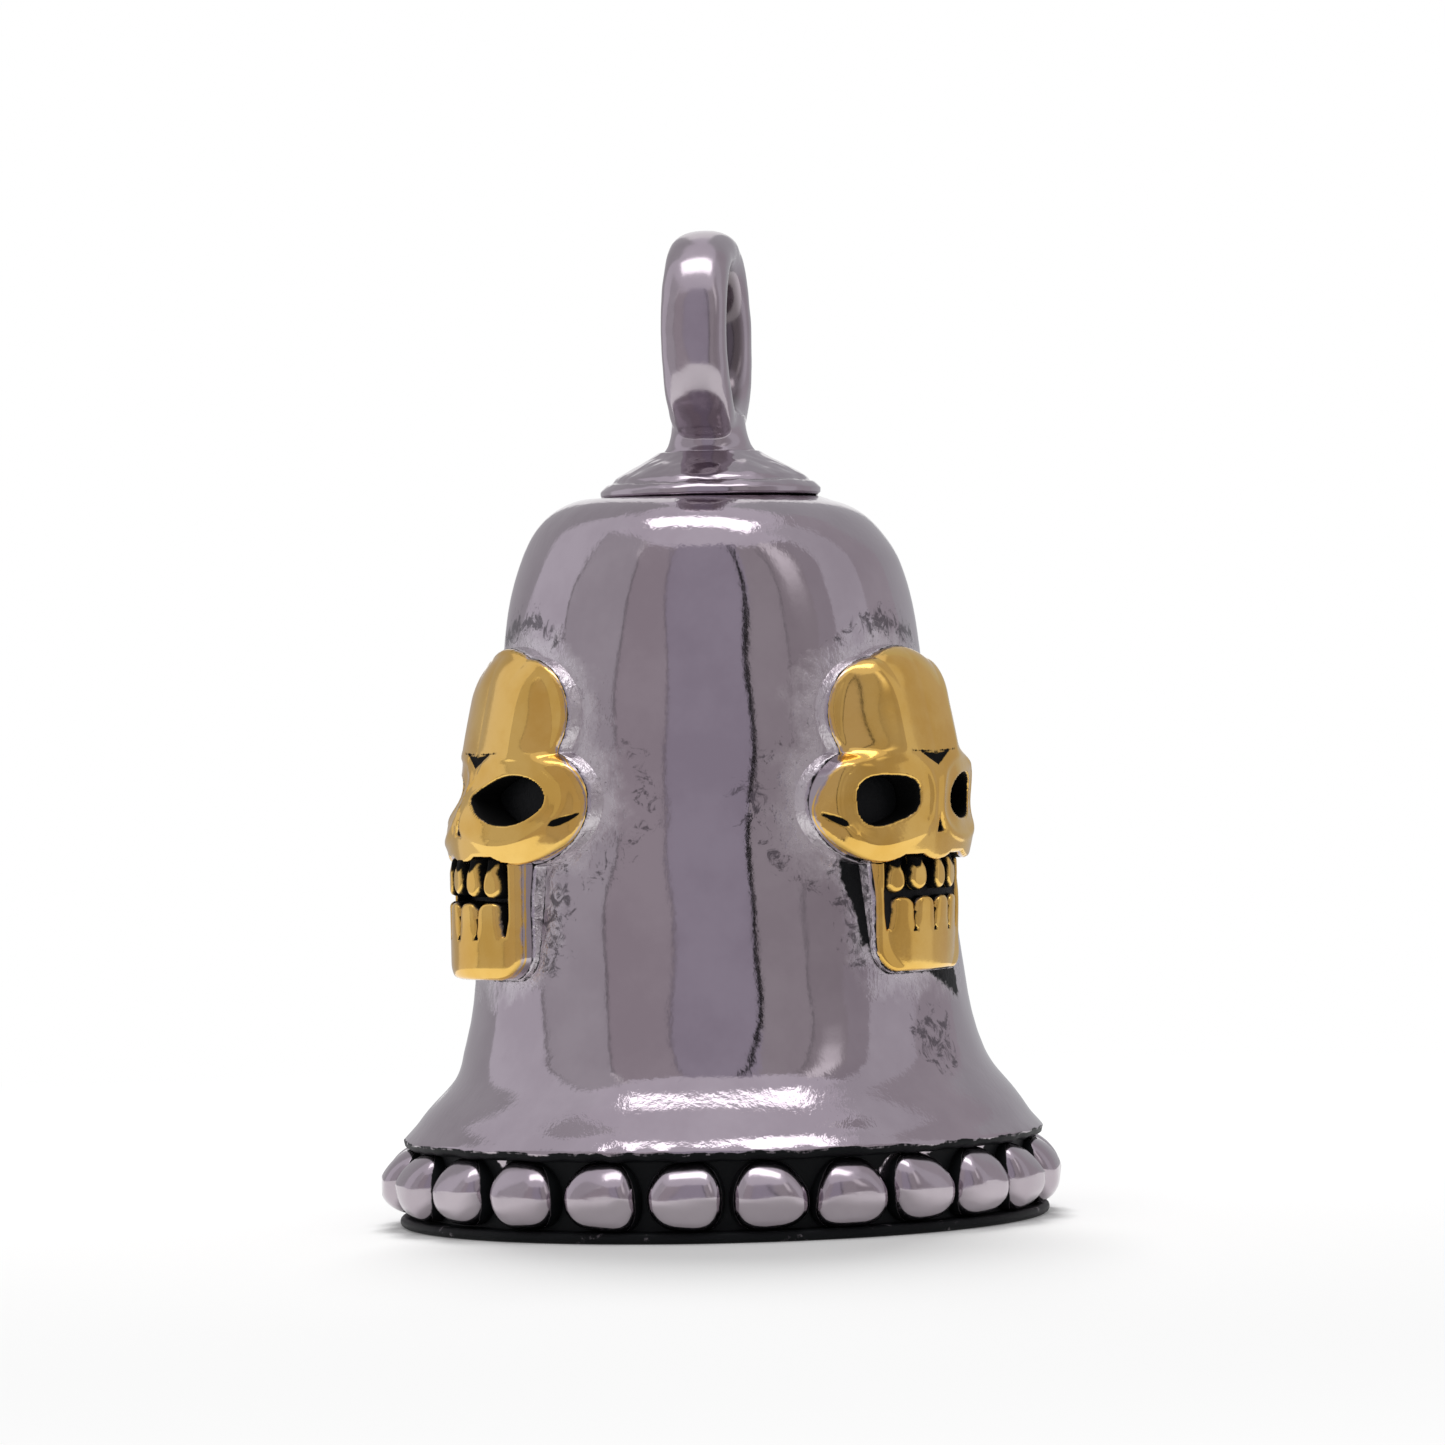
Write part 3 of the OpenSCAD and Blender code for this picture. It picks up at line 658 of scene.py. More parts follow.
def makeCap(c):
    # a low cone with a thin edge; a line of half width w cut round it is depth * exp(-((radius - r) / w)^2)
    low, top, edge = c["low"], c["top"], c["radius"]
    line = np.concatenate([
        [(0, top)], cubic((c["foot"], top), (2.35, 29.13), (3.72, 28.66), (edge, low + c["edge"]), 40),
        [(edge, low + 0.1), (edge - 0.12, low), (0, low)]])
    points, faces = turnedPiece(densest(softened(line, 0.05), c["rows"], 0.25), c["turns"])
    radius, q = np.hypot(points[:, 0], points[:, 1]), points.copy()
    rough = 0.013 * waves(q, 1.6, 12) + 0.006 * waves(q, 0.6, 13)
    rim = np.exp(-((radius - edge) / 0.25) ** 2)
    points[:, 2] += rough * (points[:, 2] > low + 0.05) * ease(radius, 1.0, 2.2) * (1 - 0.5 * rim)
    r, wide, deep = c["groove"]
    groove = np.exp(-((radius - r - 0.03 * waves(q, 3.0, 5)) / wide) ** 2)
    points[:, 2] -= deep * groove * (points[:, 2] > low + 0.3)
    r, wide, deep = c["seam"]
    seam = np.exp(-((radius - r) / wide) ** 2) * (points[:, 2] > low + 0.8)
    points[:, 2] -= deep * seam * (1 + 0.6 * waves(q, 0.9, 6))
    soot = np.where(points[:, 2] < low + 0.04, 1.0, -3.0)
    points[:, 0] += c["aside"]
    mesh = makeMesh("crownCap", points, faces, {"soot": soot})
    addPiece("crownCap", mesh, "bell", ["crown_cap"], capSilver)


makeCap(cap)


loop = {
    "axis": 33.85, "outer": 4.15, "hole": 2.5, "width": 2.5, "aside": 0.12,
    "section": 2.3,                  # power of the ring's oval section
    "neck": 1.58, "foot": 1.95, "capTop": 29.5,
    "blend": 0.55,                   # how softly neck and ring join
    "voxel": 0.075,
    "innerPaintedShade": 0.85,              # painted shade on the inside of the ring
}


def loopField(p, k):
    # distance from the loop's surface: a ring whose section is |a|^n + |b|^n = 1, and a round neck that spreads to its
    # foot, joined by the smaller of the two with its corner rounded, less the hole
    x, y, z = p[:, 0], p[:, 1], p[:, 2] - k["axis"]
    thick, wide, n = (k["outer"] - k["hole"]) / 2, k["width"] / 2, k["section"]
    a, b = (np.hypot(y, z) - (k["outer"] + k["hole"]) / 2) / thick, x / wide
    ring = ((np.abs(a) ** n + np.abs(b) ** n) ** (1 / n) - 1) * (thick * 0.75 + wide * 0.25)
    height = p[:, 2] - k["capTop"]
    spread = (k["foot"] - k["neck"]) * np.clip(1 - height / 1.3, 0, 1) ** 3.4
    neckRadius = k["neck"] + spread - 0.05 - 0.20 * ease(height, 0.35, 1.15)
    neck = np.maximum(np.hypot(x / 0.93, y) - neckRadius, np.maximum(-0.35 - height, height - 1.15))
    h = np.clip(0.5 + 0.5 * (neck - ring) / k["blend"], 0, 1)
    both = neck * (1 - h) + ring * h - k["blend"] * h * (1 - h)
    return np.maximum(both, k["hole"] - np.hypot(y, z))


def makeLoop(k):
    # a rough ring and neck are remeshed into one even skin, and each point p then slides by field * slope / slope^2
    middle, thick = (k["outer"] + k["hole"]) / 2, (k["outer"] - k["hole"]) / 2
    ringPoints, ringFaces = sweptTube(ringPath(middle, k["axis"], 160, False), thick, 48)
    ringPoints[:, 0] *= k["width"] / 2 / thick
    neck = turnedPiece(spaced([(0, 31.0), (1.5, 31.0), (1.62, 30.2), (1.95, 29.5), (2.0, 29.2), (0, 29.2)], 0.15), 64)
    rough = addObject("loopRough", makeMesh("loopRough", *joined([(ringPoints, ringFaces), neck])))
    remesh = rough.modifiers.new("remesh", "REMESH")
    remesh.mode = "VOXEL"
    remesh.voxel_size = k["voxel"] * mm
    fine = bpy.data.meshes.new_from_object(rough.evaluated_get(bpy.context.evaluated_depsgraph_get()))
    bpy.data.objects.remove(rough)
    co = np.zeros(len(fine.vertices) * 3, np.float32)
    fine.vertices.foreach_get("co", co)
    p = co.reshape(-1, 3).astype(float) / mm
    e = 0.01
    for _ in range(8):
        g = np.stack([loopField(p + e * d, k) - loopField(p - e * d, k) for d in np.eye(3)], -1) / (2 * e)
        g /= np.maximum(np.sum(g * g, 1, keepdims=True), 0.05)
        p -= np.clip(loopField(p, k)[:, None] * g, -0.2, 0.2)
    # wear moves the ring's skin in and out by waves, and leaves the hole alone
    fromAxis = np.hypot(p[:, 1], p[:, 2] - k["axis"])
    worn = 0.012 * waves(p, 2.2, 17) + 0.006 * waves(p, 1.0, 18)
    out = np.stack([p[:, 0], p[:, 1] * 0.5, 0 * p[:, 0]], -1)
    out /= np.maximum(np.linalg.norm(out, axis=1, keepdims=True), 0.2)
    p += out * (worn * ease(fromAxis, 2.7, 3.2))[:, None]
    p[:, 0] += k["aside"]
    fine.vertices.foreach_set("co", (p * mm).astype(np.float32).ravel())
    fine.polygons.foreach_set("use_smooth", np.ones(len(fine.polygons), bool))
    fine.update()
    # painted shade on the inside of the ring's hole, fading out towards the hole's edge
    setValues(fine, {"soot": np.full(len(p), -3.0), "shade": k["innerPaintedShade"] * ease(fromAxis, 2.86, 2.62)})
    fine.name = "hangingLoop"
    addPiece("hangingLoop", fine, "bell", ["hanging_loop"], loopSilver)


makeLoop(loop)


def slope(shape, u, z, e=0.004):
    return (shape(u + e, z) - shape(u - e, z)) / (2 * e), (shape(u, z + e) - shape(u, z - e)) / (2 * e)


def plateGrid(shape, low, high, step):
    # a grid across [u, z] cut to a shape: squares inside it are kept, and each rim point slides down the shape's slope
    # onto the outline, by shape * slope / slope^2, while its neighbours even out to the mean of theirs
    lines = [np.linspace(low[k], high[k], int(round((high[k] - low[k]) / step)) + 1) for k in (0, 1)]
    u, z = np.meshgrid(*lines, indexing="ij")
    d = shape(u, z)
    keep = np.minimum(np.minimum(d[:-1, :-1], d[1:, :-1]), np.minimum(d[:-1, 1:], d[1:, 1:])) > -0.5 * step
    for _ in range(4):  # squares that meet only at a corner get a third between them
        a = keep[:-1, :-1] & keep[1:, 1:] & ~keep[1:, :-1] & ~keep[:-1, 1:]
        b = keep[1:, :-1] & keep[:-1, 1:] & ~keep[:-1, :-1] & ~keep[1:, 1:]
        keep[1:, :-1] |= a
        keep[:-1, :-1] |= b
    touching = np.zeros(u.shape, int)
    for a in (slice(0, -1), slice(1, None)):
        for b in (slice(0, -1), slice(1, None)):
            touching[a, b] += keep
    rim, inner = (touching > 0) & (touching < 4), touching == 4
    near = inner & (d < 3.5 * step)

    def meanOf(mask):
        total, hits = np.zeros((2,) + u.shape), np.zeros(u.shape)
        for axis in (0, 1):
            for way in (-1, 1):
                m = np.roll(mask, way, axis)
                total += np.stack([np.roll(u, way, axis), np.roll(z, way, axis)]) * m
                hits += m
        return total / np.maximum(hits, 1), hits

    for turn in range(10):
        if turn > 1:
            (mu, mz), hits = meanOf(rim)
            ok = rim & (hits >= 2)
            u, z = np.where(ok, 0.5 * u + 0.5 * mu, u), np.where(ok, 0.5 * z + 0.5 * mz, z)
        for _ in range(3):
            f = shape(u, z)
            gu, gz = slope(shape, u, z)
            size = np.maximum(gu * gu + gz * gz, 0.1)
            u = np.where(rim, u - np.clip(f * gu / size, -step, step), u)
            z = np.where(rim, z - np.clip(f * gz / size, -step, step), z)
        (mu, mz), hits = meanOf(rim | inner)
        u, z = np.where(near, mu, u), np.where(near, mz, z)
    return u, z, keep, rim, touching > 0


def plateMesh(name, number, plate, shape, front, back, marks, flare=0.0):
    # a relief plate: front(u, z) and back(u, z) are distances from the bell's axis, the face's edge is rounded by
    # edge - sqrt(edge^2 - (edge - depth)^2), and layers of points from face to back make the walls; marks gives each
    # value by a function of depth for the face, and one of the drop from the face for walls and back
    u, z, keep, rim, used = plateGrid(shape, *plate["corners"], plate["step"])
    edge, walls = plate["edge"], 5
    depth = np.maximum(shape(u, z), 0)
    inwards = edge - np.clip(depth, 0, edge)
    face = front(u, z) - (edge - np.sqrt(np.maximum(edge ** 2 - inwards ** 2, 0)))
    seat = np.minimum(back(u, z), face - 0.02)
    gu, gz = slope(shape, u, z)
    size = np.maximum(np.hypot(gu, gz), 0.3)
    layers, coords, values = [], [], {key: [] for key in marks}
    total = 0
    for k in range(walls + 1):
        t = k / walls
        here = used if k in (0, walls) else rim
        x = face * (1 - t) + seat * t
        shift = np.where(rim, flare * t, 0)
        ids = np.full(u.shape, -1)
        ids[here] = total + np.arange(here.sum())
        total += int(here.sum())
        layers.append(ids)
        coords.append(np.stack([(u - gu / size * shift)[here], (z - gz / size * shift)[here], x[here]], -1))
        for key, (onFace, onWall) in marks.items():
            f, by = (onWall, face - x) if k else (onFace, depth)
            values[key].append(f(u[here], z[here], by[here]) + 0 * u[here])
    i, j = np.nonzero(keep)
    corners = (i, j), (i + 1, j), (i + 1, j + 1), (i, j + 1)
    quads = [np.stack([layers[0][at] for at in corners], -1),
             np.stack([layers[-1][corners[k]] for k in (0, 3, 2, 1)], -1)]
    wide = np.pad(keep, 1)
    for axis in (0, 1):
        before = wide[:-1, 1:-1] if axis == 0 else wide[1:-1, :-1]
        after = wide[1:, 1:-1] if axis == 0 else wide[1:-1, 1:]
        for flag, ahead in ((~before & after, True), (before & ~after, False)):
            i, j = np.nonzero(flag)
            a, b = (i, j), ((i, j + 1) if axis == 0 else (i + 1, j))
            if ahead != (axis == 0):
                a, b = b, a
            quads += [np.stack([top[a], top[b], under[b], under[a]], -1) for top, under in zip(layers, layers[1:])]
    u, z, x = np.concatenate(coords).T[:, :, None]
    across, out = facing(own("turns", number))
    points = x * out + u * across + (z + lifted(z, number)) * np.array([0, 0, 1.0])
    return makeMesh(name, points, [np.concatenate(quads)], {k: np.concatenate(v) for k, v in values.items()})


# how far the middle of the face stands from the bell's axis, at heights from chin to crown
faceLine = softened([
    (13.2, 10.20), (13.8, 10.34), (14.4, 10.45), (14.9, 10.48), (15.5, 10.43), (16.2, 10.31), (17.0, 10.15),
    (17.75, 10.01), (18.5, 9.87), (19.3, 9.70), (20.0, 9.54), (20.8, 9.34), (21.4, 9.19), (21.85, 9.04), (22.2, 8.9),
], 0.5)


def bent(radius, u, least):
    # a circle seen along the face's direction: sqrt(radius^2 - u^2)
    return np.sqrt(np.maximum(radius ** 2 - u * u, least))


def seatFront(u, z):
    # the seat is thinner at the chin, where the waist spreads under it
    return bent(waistRadius(z) + skull["seat"] - skull["seatChin"] * ease(z, 12.8, 10.2), u, 0.01)


def plateBack(u, z):
    return seatFront(u, z) - 0.06


def faceDome(u, z, number):
    # the face without features: axis + sqrt(reach^2 - u^2), with each skull's own forehead above and cheeks below
    low = ease(z, 17.0, 15.2)
    axis = own("highAxis", number) * (1 - low) + own("lowAxis", number) * low
    more = own("highReach", number) * (1 - low) + own("lowReach", number) * low
    return axis + bent(np.interp(z, faceLine[:, 0], faceLine[:, 1]) + more - axis, u, 0.4)


def jawDome(u, z, number):
    # the jaw bends round an upright axis further out than the face's, and runs in towards the chin
    lean = own("jawLean", number) * np.maximum(13.2 - z, 0)
    return own("jawAxis", number) + bent(own("jawReach", number), u, 0.4) - lean


def proudOf(x, least):
    # the higher of two surfaces with the corner between them rounded: half of a + b + sqrt((a - b)^2 + 0.12^2)
    return 0.5 * (x + least + np.sqrt((x - least) ** 2 + 0.0144))


def edgeBare(u, z, depth):
    return (0.02 - depth) * 10


def wallBare(u, z, drop):
    return (drop - 0.10) * 12


def evenly(value):
    return lambda u, z, by: value


cranium = {
    "corners": ((-5.2, 13.4), (5.2, 22.1)), "step": 0.066, "edge": 0.13,
    "swellings": (                        # height, middle across, middle height, half width, half height
        (0.10, 3.3, 14.9, 1.5, 0.8),      # cheekbone
        (0.06, 0.0, 16.4, 0.5, 1.2),      # bridge of the nose
        (0.12, 2.6, 17.15, 1.3, 0.45)),   # brow
    "socketHollow": 0.62,                 # width of the hollow round each socket
    "crownRound": (1.3, 0.8),             # the crown's edge is a quarter of an oval, this far across and down
    "cut": 0.06,                          # depth of the brow's and cheeks' lines
    # each skull's sockets: middle across, middle height, half width, half height, power of the outline, tilt with the
    # outer corner down, and how much taller it is at its outer end
    "left": ((2.20, 16.12, 1.24, 0.88, 2.3, 8, 0.25), (2.20, 16.16, 1.28, 0.88, 2.3, 8, 0.25),
             (2.49, 16.12, 1.29, 0.87, 3.0, 6, 0.22)),
    "right": ((2.15, 16.12, 1.42, 0.90, 1.9, 4, 0.35), (2.05, 16.14, 1.72, 0.88, 1.75, 3, 0.40),
              (2.10, 16.12, 1.30, 0.84, 2.2, -4, 0.10)),
}


def socketDepth(u, z, number):
    # depth inside the nearer eye socket: an oval |x/a|^n + |y/b|^n = 1, turned by its tilt; its value over its slope
    def oval(u, z):
        deepest = np.full(np.shape(u), -9.0)
        for way, key in ((-1, "left"), (1, "right")):
            cu, cz, a, b, n, tilt, egg = cranium[key][number - 1]
            t = math.radians(-tilt)
            x, y = u * way - cu, z - cz
            x, y = x * math.cos(t) + y * math.sin(t), -x * math.sin(t) + y * math.cos(t)
            tall = b * (1 + egg * np.clip(x / a, -1.2, 1.2))
            k = (np.abs(x / a) ** n + np.abs(y / tall) ** n + 1e-9) ** (1 / n)
            deepest = np.maximum(deepest, (1 - k) * min(a, b))
        return deepest
    return oval(u, z) / np.maximum(np.hypot(*slope(oval, u, z, 0.01)), 0.35)


def noseDepth(u, z):
    # depth inside the small three-sided nose hole, point up
    x, y = np.abs(u), z - 15.0
    return np.minimum(y + 0.16, 0.13 - (y * 0.36 + x * 1.02))


def browMark(u, z):
    # closeness to the brow's cut line: a V with a hollow top in the middle and a thin broken line to each side
    v = np.abs(u)
    middle = np.minimum(np.minimum(z - (17.30 + 0.52 * v), (17.78 + 0.10 * v) - z) * 0.9, (1.0 - v) * 0.6)
    line = np.minimum(0.055 - np.abs(z - (17.84 + 0.05 * v)), (1.55 - v) * 0.4)
    return np.maximum(middle, line + 0.018 * np.sin(u * 9.0) * np.sin(u * 23.0) - 0.008)


def cheekMark(u, z):
    # closeness to a short slit on each cheek: it runs in and down from the edge and thickens before its point
    x, y = 4.95 - np.abs(u), 15.68 - z
    along, across = (x * 0.85 + y * 0.53) / 0.95, x * 0.53 - y * 0.85
    return 0.07 + 0.09 * ease(along, 0, 0.8) - np.abs(across) - np.maximum(np.abs(along - 0.5) - 0.38, 0)


def makeCranium(number, c=cranium):
    def holes(u, z):
        return np.maximum(socketDepth(u, z, number), noseDepth(u, z))

    def shape(u, z):
        return np.minimum(craniumShape(u, z), -holes(u, z))

    def front(u, z):
        v, away, hollow = np.abs(u), -socketDepth(u, z, number), c["socketHollow"]
        x = faceDome(u, z, number)
        ring = np.clip(1 - away / hollow, 0, 1)
        x = x - (0.05 + 0.13 * ease(v, 1.2, 2.6)) * ring ** 0.7 * (away < hollow)
        x = x + 0.07 * np.exp(-(away / 0.10) ** 2)                     # the socket's raised lip
        x = x + 0.05 * np.exp(-((away - 0.74) / 0.16) ** 2)            # the hollow's outer ridge
        for much, cu, cz, wide, tall in c["swellings"]:
            x = x + much * np.exp(-np.hypot((v - cu) / wide, (z - cz) / tall) ** 2)
        high = ease(z, 17.3, 18.2)
        crease = own("crease", number) + 0.25 * ease(z, 19.5, 21.2)
        x = x + 0.11 * high * (1 - np.abs(v / crease - 1))             # flat front with a fold at each side
        x = x - own("templeFall", number) * high * np.clip((v - crease) / 2.1, 0, 1) ** 1.35
        x = x - own("cheekFall", number) * (1 - high) * np.clip((v - 3.2) / 1.8, 0, 1) ** 1.5
        # the crown's rounding comes lower on the fuller side
        wide, down = c["crownRound"]
        inner = 1 - np.clip(craniumShape(u, z) / wide, 0, 1)
        fuller = ease(u * own("fullSide", number), 0.0, 1.5)
        x = x - down * ease(z, 18.7 - 1.3 * fuller, 20.2 - 1.9 * fuller) * (1 - np.sqrt(1 - inner ** 2))
        x = x - c["cut"] * np.clip(np.maximum(browMark(u, z), cheekMark(u, z)) / 0.1, 0, 1)
        return proudOf(x, seatFront(u, z) + 0.12)

    def faceSoot(u, z, depth):
        lines = np.maximum(browMark(u, z) * 14, cheekMark(u, z) * 12) - 0.25
        rims = np.maximum(0.035 + socketDepth(u, z, number), 0.03 + noseDepth(u, z)) * 12
        return np.maximum(lines, rims)

    def wallSoot(u, z, drop):
        under = ease(z, 14.6, 13.9) * (np.abs(u) < 3.2) * 3.0
        return np.where(holes(u, z) > -0.2, 3.0, under - 1.5)

    mesh = plateMesh("cranium%d" % number, number, c, shape, front, plateBack,
                     {"soot": (faceSoot, wallSoot), "bare": (edgeBare, wallBare)})
    addPiece("cranium%d" % number, mesh, "bell", ["cranium_%d" % number], gilt)


teeth = {
    "corners": ((-2.6, 12.6), (2.6, 14.1)), "step": 0.045, "edge": 0.20,
    "top": 13.98, "low": 12.60, "round": 0.42, "neck": 0.26,
    # where each skull's four upper teeth stand, across from the middle
    "middles": ((-1.62, -0.55, 0.52, 1.64), (-1.24, -0.14, 0.96, 1.86), (-2.00, -0.98, 0.33, 1.42)),
}


def makeUpperTeeth(number, t=teeth):
    # each tooth is a narrow root over a bulb whose upper half is stretched
    rng = np.random.default_rng(50 + number)
    sizes = rng.uniform(0.92, 1.14, 4)
    lows = t["low"] + rng.uniform(-0.05, 0.08, 4)

    def shape(u, z):
        d = np.full(np.shape(u), -9.0)
        for m, s, low in zip(t["middles"][number - 1], sizes, lows):
            r, v = t["round"] * s, np.abs(u - m)
            middle = low + r
            sides = t["neck"] * s + 0.08 * np.clip(z - 13.5, 0, 1) - v
            root = np.minimum(sides, np.minimum(t["top"] - z, z - middle))
            bulb = r - np.hypot(v, (z - middle) / np.where(z > middle, 1.9, 1.0))
            d = np.maximum(d, np.maximum(root, bulb))
        return d

    def front(u, z):
        return np.maximum(jawDome(u, z, number) - 0.02 - 0.10 * ease(z, 13.4, 13.9), seatFront(u, z) + 0.12)

    def faceSoot(u, z, depth):
        return np.maximum((0.06 - depth) * 8, (z - 13.62) * 4 + 0.6 * np.sin(u * 7 + number))

    def wallSoot(u, z, drop):
        return (drop - 0.05) * 9

    mesh = plateMesh("upperTeeth%d" % number, number, t, shape, front, plateBack,
                     {"soot": (faceSoot, wallSoot), "bare": (evenly(-3.0), evenly(-3.0))})
    addPiece("upperTeeth%d" % number, mesh, "bell", ["upper_teeth_%d" % number], gilt)


jaw = {
    "corners": ((-3.1, 9.4), (3.1, 13.9)), "step": 0.052, "edge": 0.18,
    "toothTop": 12.42, "toothRound": 0.55, "pitch": 1.14, "gap": 2.27,
    "top": 13.81, "opening": 2.36, "slitLow": 11.1,
}


def makeJaw(number, j=jaw):
    def fromTooth(u):
        # distance from the middle of the nearest of the four lower teeth
        k = np.clip(np.round(u / j["pitch"] - 0.5), -2, 1) + 0.5
        return np.abs(u - k * j["pitch"])

    def mouth(u, z):
        # above 0 in the open mouth over the lower teeth, whose tops are arcs, and in the gap beside them
        v = np.abs(u)
        x = np.clip(fromTooth(u) / j["toothRound"], 0, 1)
        tops = j["toothTop"] - j["toothRound"] * (1 - np.sqrt(1 - x ** 2.6)) * 0.95
        over = np.minimum(z - tops, j["opening"] - v) * 0.9
        return np.maximum(over, np.minimum(0.13 * ease(z, 10.9, 12.0) + 0.02 - np.abs(v - j["gap"]), z - 11.25))

    def shape(u, z):
        return np.minimum(np.minimum(jawShape(u, z), j["top"] - z), -mouth(u, z))

    def slits(u, z):
        # closeness to the thin cuts between the lower teeth, each with a small three-sided end
        wide = 0.035 + 0.05 * ease(z, 11.5, 12.0) + 0.10 * np.clip(1 - (z - j["slitLow"]) / 0.22, 0, 1)
        v = np.abs(u)
        return np.minimum(wide - np.minimum(v, np.abs(v - j["pitch"])), z - j["slitLow"])

    def front(u, z):
        x = jawDome(u, z, number) - own("chinTuck", number) * ease(z, 10.3, 8.9) ** 1.5
        teethOnly = ease(z, 11.0, 11.7) * (np.abs(u) < j["gap"])
        x = x - 0.10 * teethOnly * np.clip(fromTooth(u) / 0.57, 0, 1) ** 3      # each tooth is a little round
        x = x - 0.12 * np.clip(slits(u, z) / 0.04, 0, 1)
        return np.maximum(x, seatFront(u, z) + 0.10)

    def faceSoot(u, z, depth):
        return np.maximum(slits(u, z) * 22, np.maximum((0.03 + mouth(u, z)) * 9, (z - 13.80) * 4))

    def wallSoot(u, z, drop):
        return np.where(mouth(u, z) > -0.15, 2.5, -1.5)

    mesh = plateMesh("jaw%d" % number, number, j, shape, front, plateBack,
                     {"soot": (faceSoot, wallSoot), "bare": (edgeBare, wallBare)})
    addPiece("jaw%d" % number, mesh, "bell", ["jaw_%d" % number], gilt)


seat = {"corners": ((-5.3, 9.2), (5.3, 22.3)), "step": 0.09, "edge": 0.06, "margin": 0.035, "flare": 0.03, "sunk": 0.12}


def makeSeat(number, s=seat):
    # the skull's outline, a margin wider; it shows only as a black line and a rim of frost
    def shape(u, z):
        return skullShape(u, z) + s["margin"]

    def back(u, z):
        return bent(waistRadius(z) - s["sunk"], u, 0.01)

    def faceSoot(u, z, depth):
        return np.clip((skullShape(u, z) + 0.02) * 12, -3, 3)

    def wallSoot(u, z, drop):
        return np.where((np.abs(u) < 2.4) & (z < 14.2) & (z > 13.2), 1.0, -3.0)

    def wallStain(u, z, drop):
        return 0.15 * ease(z, 14.5, 13.5) - 1.0 * ease(z, 13.5, 14.5)

    mesh = plateMesh("skullSeat%d" % number, number, s, shape, seatFront, back, {
        "soot": (faceSoot, wallSoot), "frost": (evenly(0.4), evenly(1.1)), "stain": (evenly(-3.0), wallStain),
    }, s["flare"])
    addPiece("skullSeat%d" % number, mesh, "bell", ["skull_seat_%d" % number], seatSilver)


for number in (1, 2, 3):
    makeSeat(number)
    makeCranium(number)
    makeUpperTeeth(number)
    makeJaw(number)


clapper = {
    "staple": 1.8, "stapleWire": 0.45, "stapleBend": 26.0, "stapleTop": 27.7,
    "link": 1.6, "linkWire": 0.4, "linkHeight": 23.51,
    "eye": 1.1, "eyeWire": 0.4, "eyeHeight": 21.67,
    "rod": 0.55, "rodTop": 20.57, "rodLow": 6.3,
    "ball": 2.6, "ballHeight": 5.5,
}


def makeClapper(c):
    # wires are circles carried along rings and a U, and the rod and ball are turned
    def add(name, part, body, nodes, material):
        points, faces = part
        mesh = makeMesh(name, points, faces, {"soot": np.full(len(points), -0.9)})
        addPiece(name, mesh, body, nodes, material)

    half, top, t = c["staple"], c["stapleTop"], np.linspace(np.pi, 2 * np.pi, 60)
    bend = np.stack([half * np.cos(t), 0 * t, c["stapleBend"] + half * np.sin(t)], -1)
    path = spaced(np.concatenate([[(-half, 0, top)], bend, [(half, 0, top)]]), 0.12)
    add("staple", sweptTube(path, c["stapleWire"], 32, False), "bell", ["clapper_staple"], wireSilver)

    ring = ringPath(c["link"], c["linkHeight"], 120, False)
    add("link", sweptTube(ring, c["linkWire"], 32), "link", ["clapper_link"], wireSilver)

    eye = sweptTube(ringPath(c["eye"], c["eyeHeight"], 100, True), c["eyeWire"], 28)
    wide, high, low = c["rod"], c["rodTop"], c["rodLow"]
    line = softened([(0, high + 0.12), (0.30, high + 0.10), (wide, high - 0.25), (wide, low), (0, low)], 0.1)
    rod = turnedPiece(densest(line, 60, 0.5), 40)
    add("clapperRod", joined([eye, rod]), "clapper", ["clapper_rod"], wireSilver)

    t = np.linspace(np.pi / 2, -np.pi / 2, 72)
    line = np.stack([c["ball"] * np.cos(t), c["ballHeight"] + c["ball"] * np.sin(t)], -1)
    add("clapperBall", turnedPiece(line, 120), "clapper", ["clapper_ball"], ballSilver)


makeClapper(clapper)


stage = {
    "floorLow": -0.004,
    "floorGrey": 0.80,        # the floor's own colour
    "floorLight": 0.86,       # the light that the open floor sends back near the bell
    "fadeFrom": 35.0, "fadeTo": 110.0,
    "worldLight": 0.32,
    "tentRadius": 700.0, "skirt": 58.0,
}


def whenSeen(tree):
    # 1 for what the camera sees straight, in gloss or through glass, and 0 for soft light
    path = tree.nodes.new("ShaderNodeLightPath")
    seen = calc(tree, "MAXIMUM", path.outputs["Is Camera Ray"], path.outputs["Is Glossy Ray"])
    return calc(tree, "MAXIMUM", seen, path.outputs["Is Transmission Ray"])


def makeWorld(s):
    world = bpy.data.worlds.new("studio")
    bpy.context.scene.world = world
    world.use_nodes = True
    tree = world.node_tree
    ground = tree.nodes["Background"]
    ground.inputs["Color"].default_value = (1, 1, 1, 1)
    tree.links.new(blendValue(tree, whenSeen(tree), s["worldLight"], 1.0), ground.inputs["Strength"])


def addStage(name, points, faces, material, values=None):
    mesh = makeMesh(name, points, [faces], values)
    mesh.materials.append(material)
    ob = addObject(name, mesh)
    return ob


